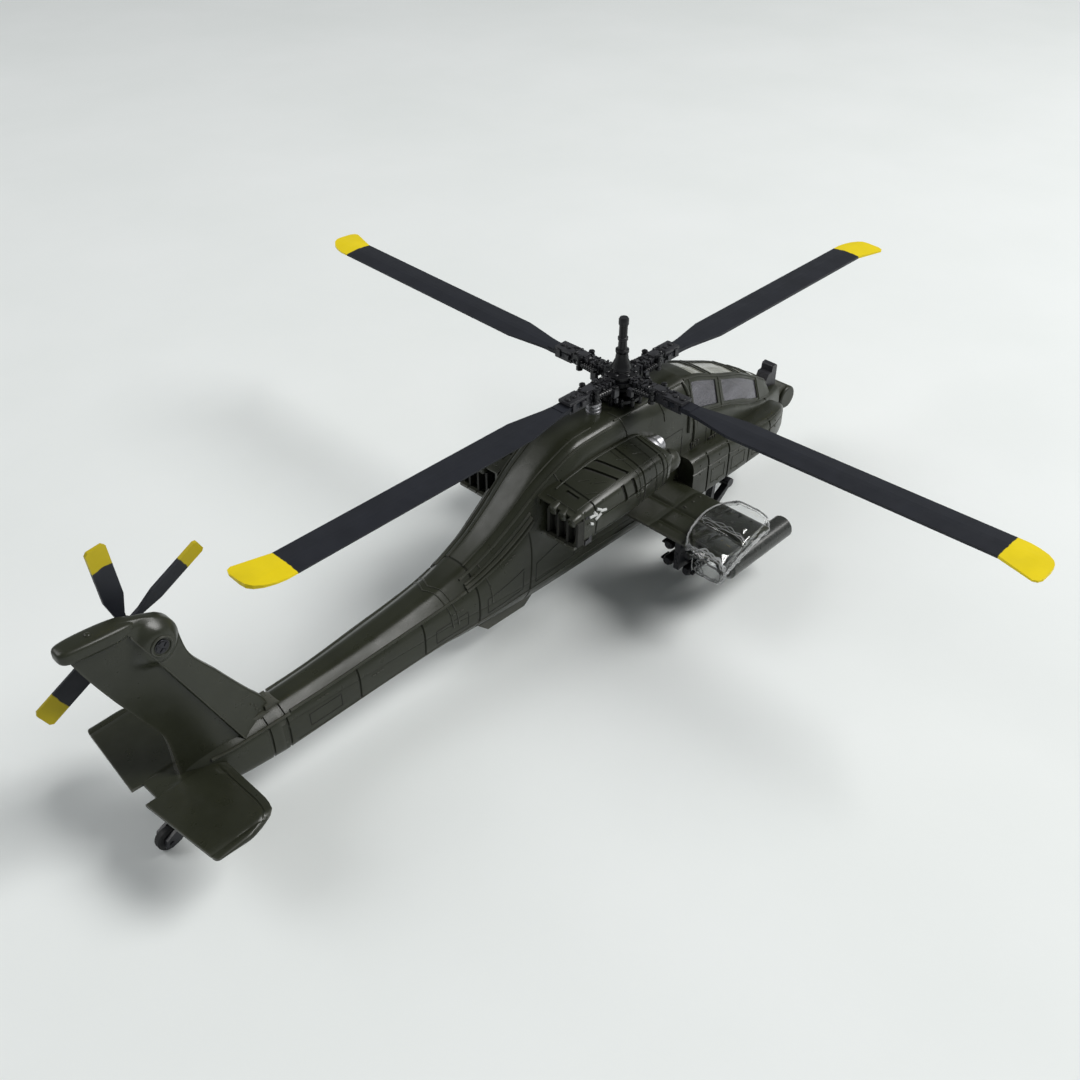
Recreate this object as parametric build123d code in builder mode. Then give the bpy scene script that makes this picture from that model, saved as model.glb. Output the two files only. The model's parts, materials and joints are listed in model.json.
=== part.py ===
from build123d import *
import math
import os

os.makedirs("parts", exist_ok=True)

# Toy two-seat gunship helicopter on three wheels, 1:55 of the full-size machine.
# Frame in millimetres: +X to the nose, +Y to the port (left) side, +Z up, ground at Z = 0,
# origin on the ground in the middle of the overall length.

# ---------------------------------------------------------------- driving dimensions
ROTOR_R = 133.0
ROTOR_Z = 65.0
MAST_X = 25.0
BLADE_CHORD = 10.2
BLADE_THICK = 1.3
HUB_ARM_R = 24.5
SWEEP_START_R = 121.4

TAIL_ROTOR_R = 25.4
TAIL_AXIS_X = -134.4
TAIL_AXIS_Z = 61.4
TAIL_HUB_Y = 6.6
TAIL_CHORD = 5.0
FIN_SCREW_X = -132.2
FIN_SCREW_Z = 63.6

WALL = 1.6
SPLIT_Z = 22.0
HULL_REAR_X = -108.0
FIREWALL_X = 46.0
HULL_NOSE_X = 107.0

WING_LE_X = 41.5
WING_TE_X = 16.5
WING_Z = 25.5
WING_THICK = 2.8
WING_TIP_Y = 47.5

STAB_Z = 21.0
STAB_THICK = 2.2
STAB_HALF_SPAN = 28.6
STAB_LE_X = -124.0
STAB_TE_X = -145.0

MAIN_WHEEL_R = 6.0
MAIN_WHEEL_X = 55.0
MAIN_WHEEL_Y = 18.5
MAIN_WHEEL_W = 4.6
TAIL_WHEEL_R = 3.1
TAIL_WHEEL_X = -141.0
TAIL_WHEEL_W = 2.4

GUN_X = 76.0
GUN_PIVOT_R = 1.6
GUN_BARREL_Z = 7.4

MISSILE_R = 1.7
STORE_Y = 28.3
POD_Y = 43.0
POD_R = 3.7

RUN_CLEAR = 0.06       # radial running clearance of a pin or shaft in its bore
GAP = 0.3              # free gap between parts that move past each other

PORT, STARBOARD = 1, -1
SIDES = {"left": PORT, "right": STARBOARD}

# Hull stations: x, top z, half width of the top, shoulder z, shoulder half width,
# lower z, lower half width, belly z, half width of the belly.
REAR_STATIONS = [
    (HULL_REAR_X, 25.6, 2.8, 22.8, 6.0, 14.6, 6.5, 12.7, 5.2),
    (-95.0, 26.2, 3.0, 23.0, 6.2, 14.8, 6.6, 13.2, 5.2),
    (-75.0, 27.8, 3.4, 24.6, 7.0, 15.6, 7.0, 13.8, 5.2),
    (-55.0, 30.4, 3.8, 25.8, 8.0, 17.0, 8.0, 13.6, 5.4),
    (-47.0, 32.3, 4.2, 26.6, 8.8, 17.6, 8.8, 13.2, 6.0),
    (-36.0, 36.8, 4.8, 29.6, 10.0, 18.2, 9.8, 12.6, 6.4),
    (-27.0, 42.4, 5.4, 34.5, 11.0, 19.0, 10.4, 12.2, 6.8),
    (-14.0, 51.6, 6.6, 44.0, 11.4, 19.0, 11.0, 12.0, 7.2),
    (0.0, 57.4, 7.8, 51.5, 11.5, 19.0, 11.2, 12.0, 7.4),
    (FIREWALL_X, 58.6, 7.4, 52.0, 11.5, 19.0, 11.4, 12.0, 7.6),
]
FRONT_STATIONS = [
    (FIREWALL_X, 46.5, 10.2, 44.0, 11.5, 19.0, 11.4, 12.0, 7.6),
    (66.0, 41.8, 10.0, 39.0, 11.2, 19.0, 11.2, 12.2, 7.4),
    (88.0, 33.4, 8.8, 30.0, 9.4, 19.5, 9.4, 13.6, 6.0),
    (100.0, 30.6, 6.0, 27.6, 6.8, 19.0, 6.8, 14.4, 4.5),
    (HULL_NOSE_X, 29.4, 4.2, 26.0, 5.0, 18.5, 5.0, 15.0, 3.5),
]
FIN_ROOT_STATIONS = [
    (HULL_REAR_X, 25.6, 2.8, 22.8, 6.0, 14.6, 6.5, 12.7, 5.2),
    (-121.0, 25.2, 2.6, 22.6, 5.4, 15.0, 5.8, 13.2, 4.4),
    (-129.0, 24.4, 1.8, 22.4, 3.6, 16.6, 3.8, 14.6, 2.8),
    (-135.5, 23.4, 0.9, 22.2, 1.6, 18.2, 1.6, 17.0, 1.2),
]

# Screws that close the two hull shells from below: x and belly height there.
SCREW_POSTS = [(-62.0, 13.7), (2.0, 12.0), (99.0, 14.3)]

# Flat pad under the belly that a display stand takes hold of.
PAD_X0, PAD_X1, PAD_HALF, PAD_Z = 8.0, 44.0, 6.0, 11.7


# ---------------------------------------------------------------- shared helpers
def save(builder, label):
    """Labels the finished piece and writes its STEP file."""
    builder.part.label = label
    export_step(builder.part, f"parts/{label}.step")


def mirrored_outline(half):
    """Closes a half outline of (y, z) points, top first, into a left-right even one."""
    return half + [(-y, z) for y, z in reversed(half)]


def hull_half(station, inset):
    """Half section of the hull, drawn inwards by inset on every wall."""
    _, top, top_w, sh, sh_w, low, low_w, belly, belly_w = station
    return [
        (top_w - inset * 0.6, top - inset),
        (sh_w - inset, sh - inset * 0.6),
        (low_w - inset, low + inset * 0.4),
        (belly_w - inset * 0.6, belly + inset),
    ]


def loft_sections(stations, inset=0.0):
    """Straight-sided loft through hull stations, joined to the part being built."""
    with BuildPart() as body:
        for station in stations:
            with BuildSketch(Plane.YZ.offset(station[0])):
                with BuildLine():
                    Polyline(*mirrored_outline(hull_half(station, inset)), close=True)
                make_face()
        loft(ruled=True)
    return body.part


def moved_station(station, x):
    """The same section at another x."""
    return (x,) + station[1:]


def between(a, b, x):
    """Section at x on the straight run between stations a and b."""
    t = (x - a[0]) / (b[0] - a[0])
    return tuple(p + (q - p) * t for p, q in zip(a, b))


def prism_y(points, y0, y1):
    """Prism of an (x, z) outline between two y values."""
    with BuildPart() as body:
        with BuildSketch(Plane.XZ.offset(-y1)):
            with BuildLine():
                Polyline(*points, close=True)
            make_face()
        extrude(amount=y1 - y0)
    return body.part


def prism_z(points, z0, z1):
    """Prism of an (x, y) outline between two heights."""
    with BuildPart() as body:
        with BuildSketch(Plane.XY.offset(z0)):
            with BuildLine():
                Polyline(*points, close=True)
            make_face()
        extrude(amount=z1 - z0)
    return body.part


def rod_y(x, z, radius, y0, y1):
    """Round rod along Y."""
    with BuildPart() as body:
        with BuildSketch(Plane.XZ.offset(-y1)):
            with Locations((x, z)):
                Circle(radius)
        extrude(amount=y1 - y0)
    return body.part


def rod_x(y, z, radius, x0, x1):
    """Round rod along X."""
    with BuildPart() as body:
        with BuildSketch(Plane.YZ.offset(x0)):
            with Locations((y, z)):
                Circle(radius)
        extrude(amount=x1 - x0)
    return body.part


def rod_z(x, y, radius, z0, z1):
    """Upright round rod."""
    with BuildPart() as body:
        with BuildSketch(Plane.XY.offset(z0)):
            with Locations((x, y)):
                Circle(radius)
        extrude(amount=z1 - z0)
    return body.part


def block(x0, x1, y0, y1, z0, z1):
    """Rectangular block given by its limits."""
    return prism_z([(x0, y0), (x1, y0), (x1, y1), (x0, y1)], z0, z1)


# ---------------------------------------------------------------- hull shells
with BuildPart() as hull_outer:
    add(loft_sections(REAR_STATIONS))
    add(loft_sections(FRONT_STATIONS))

INNER_REAR = list(REAR_STATIONS)
INNER_REAR[-1] = between(REAR_STATIONS[-2], REAR_STATIONS[-1], FIREWALL_X - WALL)
INNER_FRONT = list(FRONT_STATIONS)
INNER_FRONT[0] = moved_station(FRONT_STATIONS[0], FIREWALL_X - WALL)
INNER_FRONT[-1] = between(FRONT_STATIONS[-2], FRONT_STATIONS[-1], HULL_NOSE_X - WALL)
INNER_REAR[0] = between(REAR_STATIONS[0], REAR_STATIONS[1], HULL_REAR_X + WALL)

with BuildPart() as hull_inner:
    add(loft_sections(INNER_REAR, WALL))
    add(loft_sections(INNER_FRONT, WALL))

COCKPIT_X0, COCKPIT_X1, COCKPIT_HALF = 50.0, 94.0, 7.8
BEARING_R = 3.4
SHAFT_R = 1.5
BEARING_Z0, BEARING_Z1 = 46.0, 58.6
POST_R, POST_BORE_R = 2.3, 1.1
SCREW_HEAD_R, SCREW_HEAD_H = 2.0, 1.2
BOSS_R, BOSS_TOP = 3.2, 18.5

with BuildPart() as fuselage_upper:
    add(hull_outer.part)
    add(hull_inner.part, mode=Mode.SUBTRACT)
    add(block(-130, 130, -30, 30, 0, SPLIT_Z), mode=Mode.SUBTRACT)
    for post_x, _ in SCREW_POSTS:
        add(rod_z(post_x, 0, POST_R, BOSS_TOP, 58).intersect(hull_outer.part))
    add(rod_z(MAST_X, 0, BEARING_R, BEARING_Z0, BEARING_Z1))
    add(block(COCKPIT_X0, COCKPIT_X1, -COCKPIT_HALF, COCKPIT_HALF, SPLIT_Z, 60), mode=Mode.SUBTRACT)
    add(rod_z(MAST_X, 0, SHAFT_R + RUN_CLEAR, BEARING_Z0 - 1, BEARING_Z1 + 1), mode=Mode.SUBTRACT)
    for post_x, _ in SCREW_POSTS:
        add(rod_z(post_x, 0, POST_BORE_R, BOSS_TOP - 1, 25.5), mode=Mode.SUBTRACT)

with BuildPart() as fuselage_lower:
    add(hull_outer.part)
    add(hull_inner.part, mode=Mode.SUBTRACT)
    add(block(-130, 130, -30, 30, SPLIT_Z, 80), mode=Mode.SUBTRACT)
    add(block(PAD_X0, PAD_X1, -PAD_HALF, PAD_HALF, PAD_Z, PAD_Z + WALL))
    for post_x, belly in SCREW_POSTS:
        add(rod_z(post_x, 0, BOSS_R, belly + WALL / 2, BOSS_TOP))
    for post_x, belly in SCREW_POSTS:
        add(rod_z(post_x, 0, POST_BORE_R, belly - 2, BOSS_TOP + 1), mode=Mode.SUBTRACT)
        seat_z = belly + SCREW_HEAD_H + 0.5
        add(rod_z(post_x, 0, SCREW_HEAD_R + 0.1, belly - 2, seat_z), mode=Mode.SUBTRACT)
    add(rod_z(GUN_X, 0, GUN_PIVOT_R + RUN_CLEAR, 8, 18), mode=Mode.SUBTRACT)

with BuildPart() as body_screws:
    for post_x, belly in SCREW_POSTS:
        seat_z = belly + SCREW_HEAD_H + 0.5
        add(rod_z(post_x, 0, SCREW_HEAD_R, seat_z - SCREW_HEAD_H, seat_z))
        add(rod_z(post_x, 0, POST_BORE_R, seat_z, 24.5))
        for turn in (0, 90):
            with BuildSketch(Plane.XY.offset(seat_z - SCREW_HEAD_H)):
                with Locations((post_x, 0)):
                    Rectangle(2.4, 0.5, rotation=turn)
            extrude(amount=0.6, mode=Mode.SUBTRACT)

# ---------------------------------------------------------------- stabilizer and fin
NOTCH_HALF, NOTCH_DEEP = 3.0, 3.0
with BuildPart() as stabilizer:
    with BuildSketch(Plane.XY.offset(STAB_Z - STAB_THICK / 2)):
        with BuildLine():
            Polyline(
                (STAB_LE_X, -18), (STAB_LE_X - 1.5, -24), (STAB_LE_X - 5.5, -STAB_HALF_SPAN),
                (STAB_TE_X + 3.4, -STAB_HALF_SPAN), (STAB_TE_X, -NOTCH_HALF),
                (STAB_TE_X + NOTCH_DEEP, -NOTCH_HALF), (STAB_TE_X + NOTCH_DEEP, NOTCH_HALF),
                (STAB_TE_X, NOTCH_HALF), (STAB_TE_X + 3.4, STAB_HALF_SPAN),
                (STAB_LE_X - 5.5, STAB_HALF_SPAN), (STAB_LE_X - 1.5, 24), (STAB_LE_X, 18),
                close=True,
            )
        make_face()
    extrude(amount=STAB_THICK)
    with BuildSketch(Plane.XZ.offset(-STAB_HALF_SPAN - 1)):
        with BuildLine():
            Polyline(
                (STAB_TE_X - 1, STAB_Z - 0.35), (STAB_LE_X - 7, STAB_Z - 1.1),
                (STAB_LE_X - 1.5, STAB_Z - 0.9), (STAB_LE_X, STAB_Z),
                (STAB_LE_X - 1.5, STAB_Z + 0.9), (STAB_LE_X - 7, STAB_Z + 1.1),
                (STAB_TE_X - 1, STAB_Z + 0.35), close=True,
            )
        make_face()
    extrude(amount=2 * STAB_HALF_SPAN + 2, mode=Mode.INTERSECT)

# Fin sections: z, leading edge x, trailing edge x, half thickness at the ridge.
FIN_SECTIONS = [
    (20.0, -108.0, -135.0, 3.2),
    (28.0, -108.8, -134.8, 3.2),
    (33.6, -111.6, -134.8, 3.1),
    (56.0, -125.4, -145.2, 2.9),
    (68.0, -128.0, -151.0, 2.6),
]
GEARBOX_R, GEARBOX_Y0, GEARBOX_Y1 = 7.0, -3.5, 4.2
TAIL_PIN_R, TAIL_PIN_Y0 = 0.8, 0.6
FIN_SCREW_HEAD_R, FIN_SCREW_R, FIN_SCREW_TIP_Y = 1.95, 0.7, 3.0
FIN_SEAT_Y = -2.2


def fin_section(section):
    """Outline of one level of the fin in (x, y), thickest a third back from its nose."""
    _, nose, tail, half = section
    chord = nose - tail
    shoulder_x, ridge_x = nose - 0.12 * chord, nose - 0.33 * chord
    return [
        (nose, -0.9), (shoulder_x, -0.75 * half), (ridge_x, -half), (tail, -0.6),
        (tail, 0.6), (ridge_x, half), (shoulder_x, 0.75 * half), (nose, 0.9),
    ]


with BuildPart() as fin_blade:
    for section in FIN_SECTIONS:
        with BuildSketch(Plane.XY.offset(section[0])):
            with BuildLine():
                Polyline(*fin_section(section), close=True)
            make_face()
    loft(ruled=True)

with BuildPart() as fin_cap:
    add(prism_y([(-128, 66), (-130, 70.6), (-134, 71.6), (-139, 71.8), (-152, 72.9),
                 (-153.2, 71.6), (-152.2, 69.6), (-149, 67)], -2.7, 2.7))
    fillet(fin_cap.edges().filter_by(Axis.Y), 0.4)

with BuildPart() as gearbox:
    add(rod_y(FIN_SCREW_X - 1.0, FIN_SCREW_Z, GEARBOX_R, GEARBOX_Y0, GEARBOX_Y1))
    fillet(gearbox.edges().filter_by(GeomType.CIRCLE), 1.6)

FORK_HALF, FORK_SLOT_HALF = 2.4, 1.2 + GAP
with BuildPart() as tail_fin:
    add(loft_sections(FIN_ROOT_STATIONS))
    add(fin_blade.part)
    add(fin_cap.part)
    add(gearbox.part)
    add(rod_y(TAIL_AXIS_X, TAIL_AXIS_Z, TAIL_PIN_R, TAIL_PIN_Y0, 8), mode=Mode.SUBTRACT)
    add(rod_y(FIN_SCREW_X, FIN_SCREW_Z, FIN_SCREW_HEAD_R + GAP, -8, FIN_SEAT_Y), mode=Mode.SUBTRACT)
    add(rod_y(FIN_SCREW_X, FIN_SCREW_Z, FIN_SCREW_R, FIN_SEAT_Y - 1, FIN_SCREW_TIP_Y), mode=Mode.SUBTRACT)
    add(stabilizer.part, mode=Mode.SUBTRACT)

with BuildPart() as tail_gear_fork:
    add(prism_y([(-121, 16), (-131, 18), (-137, 7.2), (-142.2, 4.6), (-142.8, 2.6), (-141.2, 1.7),
                 (-138.6, 2.4), (-133.4, 6.2), (-127, 12.4)], -FORK_HALF, FORK_HALF))
    add(loft_sections(FIN_ROOT_STATIONS), mode=Mode.SUBTRACT)
    add(rod_y(TAIL_WHEEL_X, TAIL_WHEEL_R, TAIL_WHEEL_R + 0.5, -FORK_SLOT_HALF, FORK_SLOT_HALF),
        mode=Mode.SUBTRACT)
    add(rod_y(TAIL_WHEEL_X, TAIL_WHEEL_R, 0.6, -4, 4), mode=Mode.SUBTRACT)

with BuildPart() as tail_wheel_pin:
    add(rod_y(TAIL_WHEEL_X, TAIL_WHEEL_R, 0.6, -2.7, 2.7))

with BuildPart() as tail_wheel:
    add(rod_y(TAIL_WHEEL_X, TAIL_WHEEL_R, TAIL_WHEEL_R, -TAIL_WHEEL_W / 2, TAIL_WHEEL_W / 2))
    fillet(tail_wheel.edges().filter_by(GeomType.CIRCLE), 0.6)
    add(rod_y(TAIL_WHEEL_X, TAIL_WHEEL_R, 0.6 + RUN_CLEAR, -3, 3), mode=Mode.SUBTRACT)

# ---------------------------------------------------------------- canopy and cockpit
CANOPY_PROFILE = [(46.0, 42), (46.0, 58.4), (52.5, 57.2), (61, 54.0), (79, 47.0), (86, 43.2),
                  (97, 36.6), (100.4, 32.0), (100.4, 28)]
# Lines of the leaning sides: x, roof half width at roof z, sill half width at sill z.
CANOPY_SIDES = [
    (46.0, 6.6, 58.4, 10.8, 44.0),
    (66.0, 6.6, 52.2, 10.2, 40.0),
    (100.6, 3.8, 37.0, 6.4, 28.0),
]
CANOPY_REACH = 6.0


def canopy_profile(inset):
    """Slab of the canopy's side view, drawn inwards by inset."""
    with BuildPart() as body:
        with BuildSketch(Plane.XZ.offset(-14)):
            with BuildLine():
                Polyline(*CANOPY_PROFILE, close=True)
            make_face()
            if inset:
                offset(amount=-inset, kind=Kind.INTERSECTION)
        extrude(amount=28)
    return body.part


def canopy_lean(inset):
    """Loft whose sides lean in from sill to roof and close towards the nose."""
    with BuildPart() as body:
        for x, roof, roof_z, sill, sill_z in CANOPY_SIDES:
            slope = (sill - roof) / (roof_z - sill_z)
            top_half = roof - slope * CANOPY_REACH - inset
            low_half = sill + slope * CANOPY_REACH - inset
            top_z, low_z = roof_z + CANOPY_REACH, sill_z - CANOPY_REACH
            with BuildSketch(Plane.YZ.offset(x)):
                with BuildLine():
                    Polyline((top_half, top_z), (low_half, low_z), (-low_half, low_z), (-top_half, top_z),
                             close=True)
                make_face()
        loft(ruled=True)
    return body.part


def canopy_solid(inset):
    """Canopy form: its side view cut by its leaning sides."""
    with BuildPart() as body:
        add(canopy_profile(inset))
        add(canopy_lean(inset), mode=Mode.INTERSECT)
    return body.part


FRAME_WALL, GLASS_WALL = 0.9, 0.6
SIDE_WINDOWS = [
    [(50.5, 54.6), (57.0, 53.0), (63.6, 50.2), (63.6, 43.0), (50.5, 46.9)],
    [(66.2, 49.0), (78.6, 44.2), (86.4, 39.8), (88.6, 34.4), (66.2, 42.2)],
]
ROOF_PANES = [(53.2, 60.0, 5.2), (63.4, 77.6, 5.0), (80.4, 85.0, 4.4), (88.0, 95.6, 3.6)]

with BuildPart() as canopy_frame:
    add(canopy_solid(0.0))
    add(canopy_solid(FRAME_WALL), mode=Mode.SUBTRACT)
    add(hull_outer.part, mode=Mode.SUBTRACT)
    add(block(40, 110, -15, 15, 20, 30.9), mode=Mode.SUBTRACT)
    for window in SIDE_WINDOWS:
        add(prism_y(window, -20, 20), mode=Mode.SUBTRACT)
    for pane_x0, pane_x1, pane_half in ROOF_PANES:
        add(block(pane_x0, pane_x1, -pane_half, pane_half, 34, 70), mode=Mode.SUBTRACT)

with BuildPart() as canopy_glazing:
    add(canopy_solid(FRAME_WALL))
    add(canopy_solid(FRAME_WALL + GLASS_WALL), mode=Mode.SUBTRACT)
    add(hull_outer.part, mode=Mode.SUBTRACT)
    add(block(40, 110, -15, 15, 20, 31.4), mode=Mode.SUBTRACT)
    add(block(40, 47.2, -15, 15, 20, 70), mode=Mode.SUBTRACT)

TUB_WALL = 0.9
with BuildPart() as cockpit_tub:
    add(prism_y([(COCKPIT_X0, 25), (COCKPIT_X0, 44.6), (66, 40.6), (88, 32.4), (COCKPIT_X1, 30.8),
                 (COCKPIT_X1, 23.4), (72, 23.4), (70, 25)], -COCKPIT_HALF, COCKPIT_HALF))
    add(prism_y([(COCKPIT_X0 + TUB_WALL, 26), (COCKPIT_X0 + TUB_WALL, 50), (69.6, 50), (69.6, 26)],
                -COCKPIT_HALF + TUB_WALL, COCKPIT_HALF - TUB_WALL), mode=Mode.SUBTRACT)
    add(prism_y([(70.8, 24.4), (70.8, 50), (COCKPIT_X1 - TUB_WALL, 50), (COCKPIT_X1 - TUB_WALL, 24.4)],
                -COCKPIT_HALF + TUB_WALL, COCKPIT_HALF - TUB_WALL), mode=Mode.SUBTRACT)


def seat(x, floor_z):
    """Seat with a cushion, a leaning back and a head rest."""
    return prism_y([(x, floor_z), (x + 8.2, floor_z), (x + 8.2, floor_z + 5.0), (x + 2.6, floor_z + 5.4),
                    (x + 1.2, floor_z + 16.5), (x + 1.6, floor_z + 17.2), (x + 1.2, floor_z + 20.0),
                    (x - 0.4, floor_z + 20.0)], -3.4, 3.4)


with BuildPart() as cockpit_seats:
    add(seat(52.6, 26.0))
    add(seat(73.2, 24.4))
    fillet(cockpit_seats.edges().filter_by(Axis.Z), 0.5)

with BuildPart() as instrument_panels:
    add(prism_y([(66.6, 26), (69.6, 26), (69.6, 43.5), (68.4, 45.4), (66.0, 45.0), (66.4, 36)], -5.2, 5.2))
    add(prism_y([(89.0, 24.4), (93.1, 24.4), (93.1, 34.0), (91.4, 36.4), (88.4, 36.0)], -4.0, 4.0))

# ---------------------------------------------------------------- sensors on the nose
DRUM_X, DRUM_Z, DRUM_R, DRUM_HALF = 112.8, 23.2, 4.2, 5.2
with BuildPart() as sensor_drum:
    add(rod_y(DRUM_X, DRUM_Z, DRUM_R, -DRUM_HALF, DRUM_HALF))
    fillet(sensor_drum.edges().filter_by(GeomType.CIRCLE), 0.8)
    for y0, y1, half_z in ((0.8, DRUM_HALF - 1.0, 1.9), (1.0 - DRUM_HALF, -0.8, 1.4)):
        add(block(DRUM_X + 3.0, DRUM_X + 6, y0, y1, DRUM_Z - half_z, DRUM_Z + half_z), mode=Mode.SUBTRACT)

with BuildPart() as sensor_housing:
    add(prism_y([(HULL_NOSE_X, 17.6), (HULL_NOSE_X, 29.0), (109.6, 28.6), (112.2, 28.0), (112.8, 23.2),
                 (110.4, 17.6)], -3.9, 3.9))
    add(rod_y(DRUM_X, DRUM_Z, DRUM_R, -DRUM_HALF, DRUM_HALF), mode=Mode.SUBTRACT)

with BuildPart() as night_sensor:
    add(prism_y([(101.0, 28.0), (101.4, 32.8), (102.8, 35.4), (104.6, 35.6), (104.8, 37.8), (106.6, 38.2),
                 (107.4, 37.2), (107.5, 29.2), (106, 28)], -2.3, 2.3))
    add(hull_outer.part, mode=Mode.SUBTRACT)
    fillet(night_sensor.edges().filter_by(Axis.Y).sort_by(Axis.Z)[-3:], 0.5)

# ---------------------------------------------------------------- side pieces, port and starboard
NACELLE_REAR_X, NACELLE_FRONT_X = -18.5, 26.5
NACELLE_TOP, NACELLE_BELLY = 49.4, 36.6
EXHAUST_YS = (15.0, 18.6, 22.2)
INTAKE_Y, INTAKE_Z, INTAKE_R = 16.6, 43.4, 4.2


def nacelle_section(x, outer, top, belly):
    """Engine nacelle section with a broad crowned top and a tucked underside."""
    return (x, [(4.0, top), (outer - 3.0, top), (outer - 0.8, top - 1.4), (outer, top - 4.0),
                (outer - 0.3, belly + 3.6), (outer - 2.4, belly + 0.6), (4.0, belly)])


NACELLE_SECTIONS = [
    nacelle_section(NACELLE_REAR_X, 24.4, NACELLE_TOP - 1.8, NACELLE_BELLY - 0.6),
    nacelle_section(-12.0, 24.6, NACELLE_TOP - 0.6, NACELLE_BELLY - 0.6),
    nacelle_section(2.0, 23.6, NACELLE_TOP, NACELLE_BELLY),
    nacelle_section(20.0, 21.4, NACELLE_TOP - 0.6, NACELLE_BELLY + 0.6),
    nacelle_section(NACELLE_FRONT_X, 20.6, NACELLE_TOP - 1.8, NACELLE_BELLY + 1.6),
]
BAY_SECTIONS = [
    (42.5, 17.0, 34.4, 17.2),
    (82.0, 17.0, 32.0, 17.8),
    (98.5, 13.6, 30.4, 19.6),
]


def nacelle(side):
    """Engine nacelle that lies against the hull, with intake, cooling slots and exhaust grille."""
    with BuildPart() as body:
        for x, outline in NACELLE_SECTIONS:
            with BuildSketch(Plane.YZ.offset(x)):
                with BuildLine():
                    Polyline(*[(side * y, z) for y, z in outline], close=True)
                make_face()
        loft(ruled=True)
        add(hull_outer.part, mode=Mode.SUBTRACT)
        y_in, y_out = sorted((side * 13.2, side * 23.2))
        add(block(-16.8, -12.4, y_in, y_out, 36.9, 46.4), mode=Mode.SUBTRACT)
        for slot_y in EXHAUST_YS:
            add(block(-20, -16, side * slot_y - 1.1, side * slot_y + 1.1, 37.4, 46.0), mode=Mode.SUBTRACT)
        for slot_x in (-1.0, 4.4):
            y_in, y_out = sorted((side * 13.0, side * 26.0))
            add(block(slot_x, slot_x + 0.9, y_in, y_out, NACELLE_TOP - 0.9, NACELLE_TOP + 1),
                mode=Mode.SUBTRACT)
            y_in, y_out = sorted((side * 22.6, side * 26.0))
            add(block(slot_x, slot_x + 1.3, y_in, y_out, 42.0, NACELLE_TOP + 1), mode=Mode.SUBTRACT)
        add(rod_x(side * INTAKE_Y, INTAKE_Z, INTAKE_R, NACELLE_FRONT_X - 7, NACELLE_FRONT_X + 1),
            mode=Mode.SUBTRACT)
    return body


def exhaust_insert(side):
    """Dark block that fills the exhaust box behind the grille slots."""
    with BuildPart() as body:
        y_in, y_out = sorted((side * 13.2, side * 23.2))
        add(block(-15.0, -12.4, y_in, y_out, 36.9, 46.4))
        for slot_y in EXHAUST_YS:
            add(block(-16, -13.6, side * slot_y - 1.1, side * slot_y + 1.1, 38.4, 45.4), mode=Mode.SUBTRACT)
    return body


def side_bay(side):
    """Long equipment bay along the lower fuselage side, closing towards the nose."""
    with BuildPart() as body:
        for x, outer, top, belly in BAY_SECTIONS:
            with BuildSketch(Plane.YZ.offset(x)):
                with BuildLine():
                    Polyline((side * 3, top - 0.6), (side * (outer - 1.4), top), (side * outer, top - 1.4),
                             (side * outer, belly + 2.6), (side * (outer - 2.6), belly),
                             (side * 3, belly - 0.8), close=True)
                make_face()
        loft(ruled=True)
        add(hull_outer.part, mode=Mode.SUBTRACT)
        fillet(body.edges().filter_by(Axis.Z).sort_by(Axis.X)[:1], 0.6)
    return body


def wing(side):
    """Stub wing with a rounded nose, a thin tail and a squared tip."""
    y_in, y_out = sorted((side * 8.0, side * WING_TIP_Y))
    mid = (WING_LE_X + WING_TE_X) / 2
    half = WING_THICK / 2
    with BuildPart() as body:
        with BuildSketch(Plane.XZ.offset(-y_out)):
            with BuildLine():
                Polyline((WING_TE_X, WING_Z - 0.4), (mid, WING_Z - half), (WING_LE_X - 3.5, WING_Z - half),
                         (WING_LE_X - 0.8, WING_Z - 0.7 * half), (WING_LE_X, WING_Z),
                         (WING_LE_X - 0.8, WING_Z + 0.7 * half), (WING_LE_X - 3.5, WING_Z + half),
                         (mid, WING_Z + half), (WING_TE_X, WING_Z + 0.4), close=True)
            make_face()
        extrude(amount=y_out - y_in)
        add(hull_outer.part, mode=Mode.SUBTRACT)
    return body


PYLON_X0, PYLON_X1 = 21.0, 40.0
RAIL_Z = (17.4, 11.2)
RACK_HALF = 3.7


def pylons(side):
    """Inboard and outboard pylons under one wing."""
    with BuildPart() as body:
        under_wing = WING_Z - WING_THICK / 2
        for y, x0, x1, low in ((STORE_Y, PYLON_X0, PYLON_X1, 21.6), (POD_Y, 30.0, 40.0, 16.0 + POD_R - 1.0)):
            add(block(x0, x1, side * y - 1.2, side * y + 1.2, low, under_wing + 1))
        add(wings[side].part, mode=Mode.SUBTRACT)
        add(rod_x(side * POD_Y, 16.0, POD_R, 0, 80), mode=Mode.SUBTRACT)
    return body


def missile_rack(side):
    """Rack with one spine and two cross bars that carries four missiles."""
    y = side * STORE_Y
    with BuildPart() as body:
        add(block(22.0, 41.0, y - 1.0, y + 1.0, 10.2, 21.6))
        for rail_z in RAIL_Z:
            add(block(26.6, 40.0, y - RACK_HALF, y + RACK_HALF, rail_z - 0.6, rail_z + 0.6))
            for dy in (-RACK_HALF, RACK_HALF):
                add(rod_x(y + dy, rail_z, MISSILE_R, 10, 60), mode=Mode.SUBTRACT)
    return body


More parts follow.
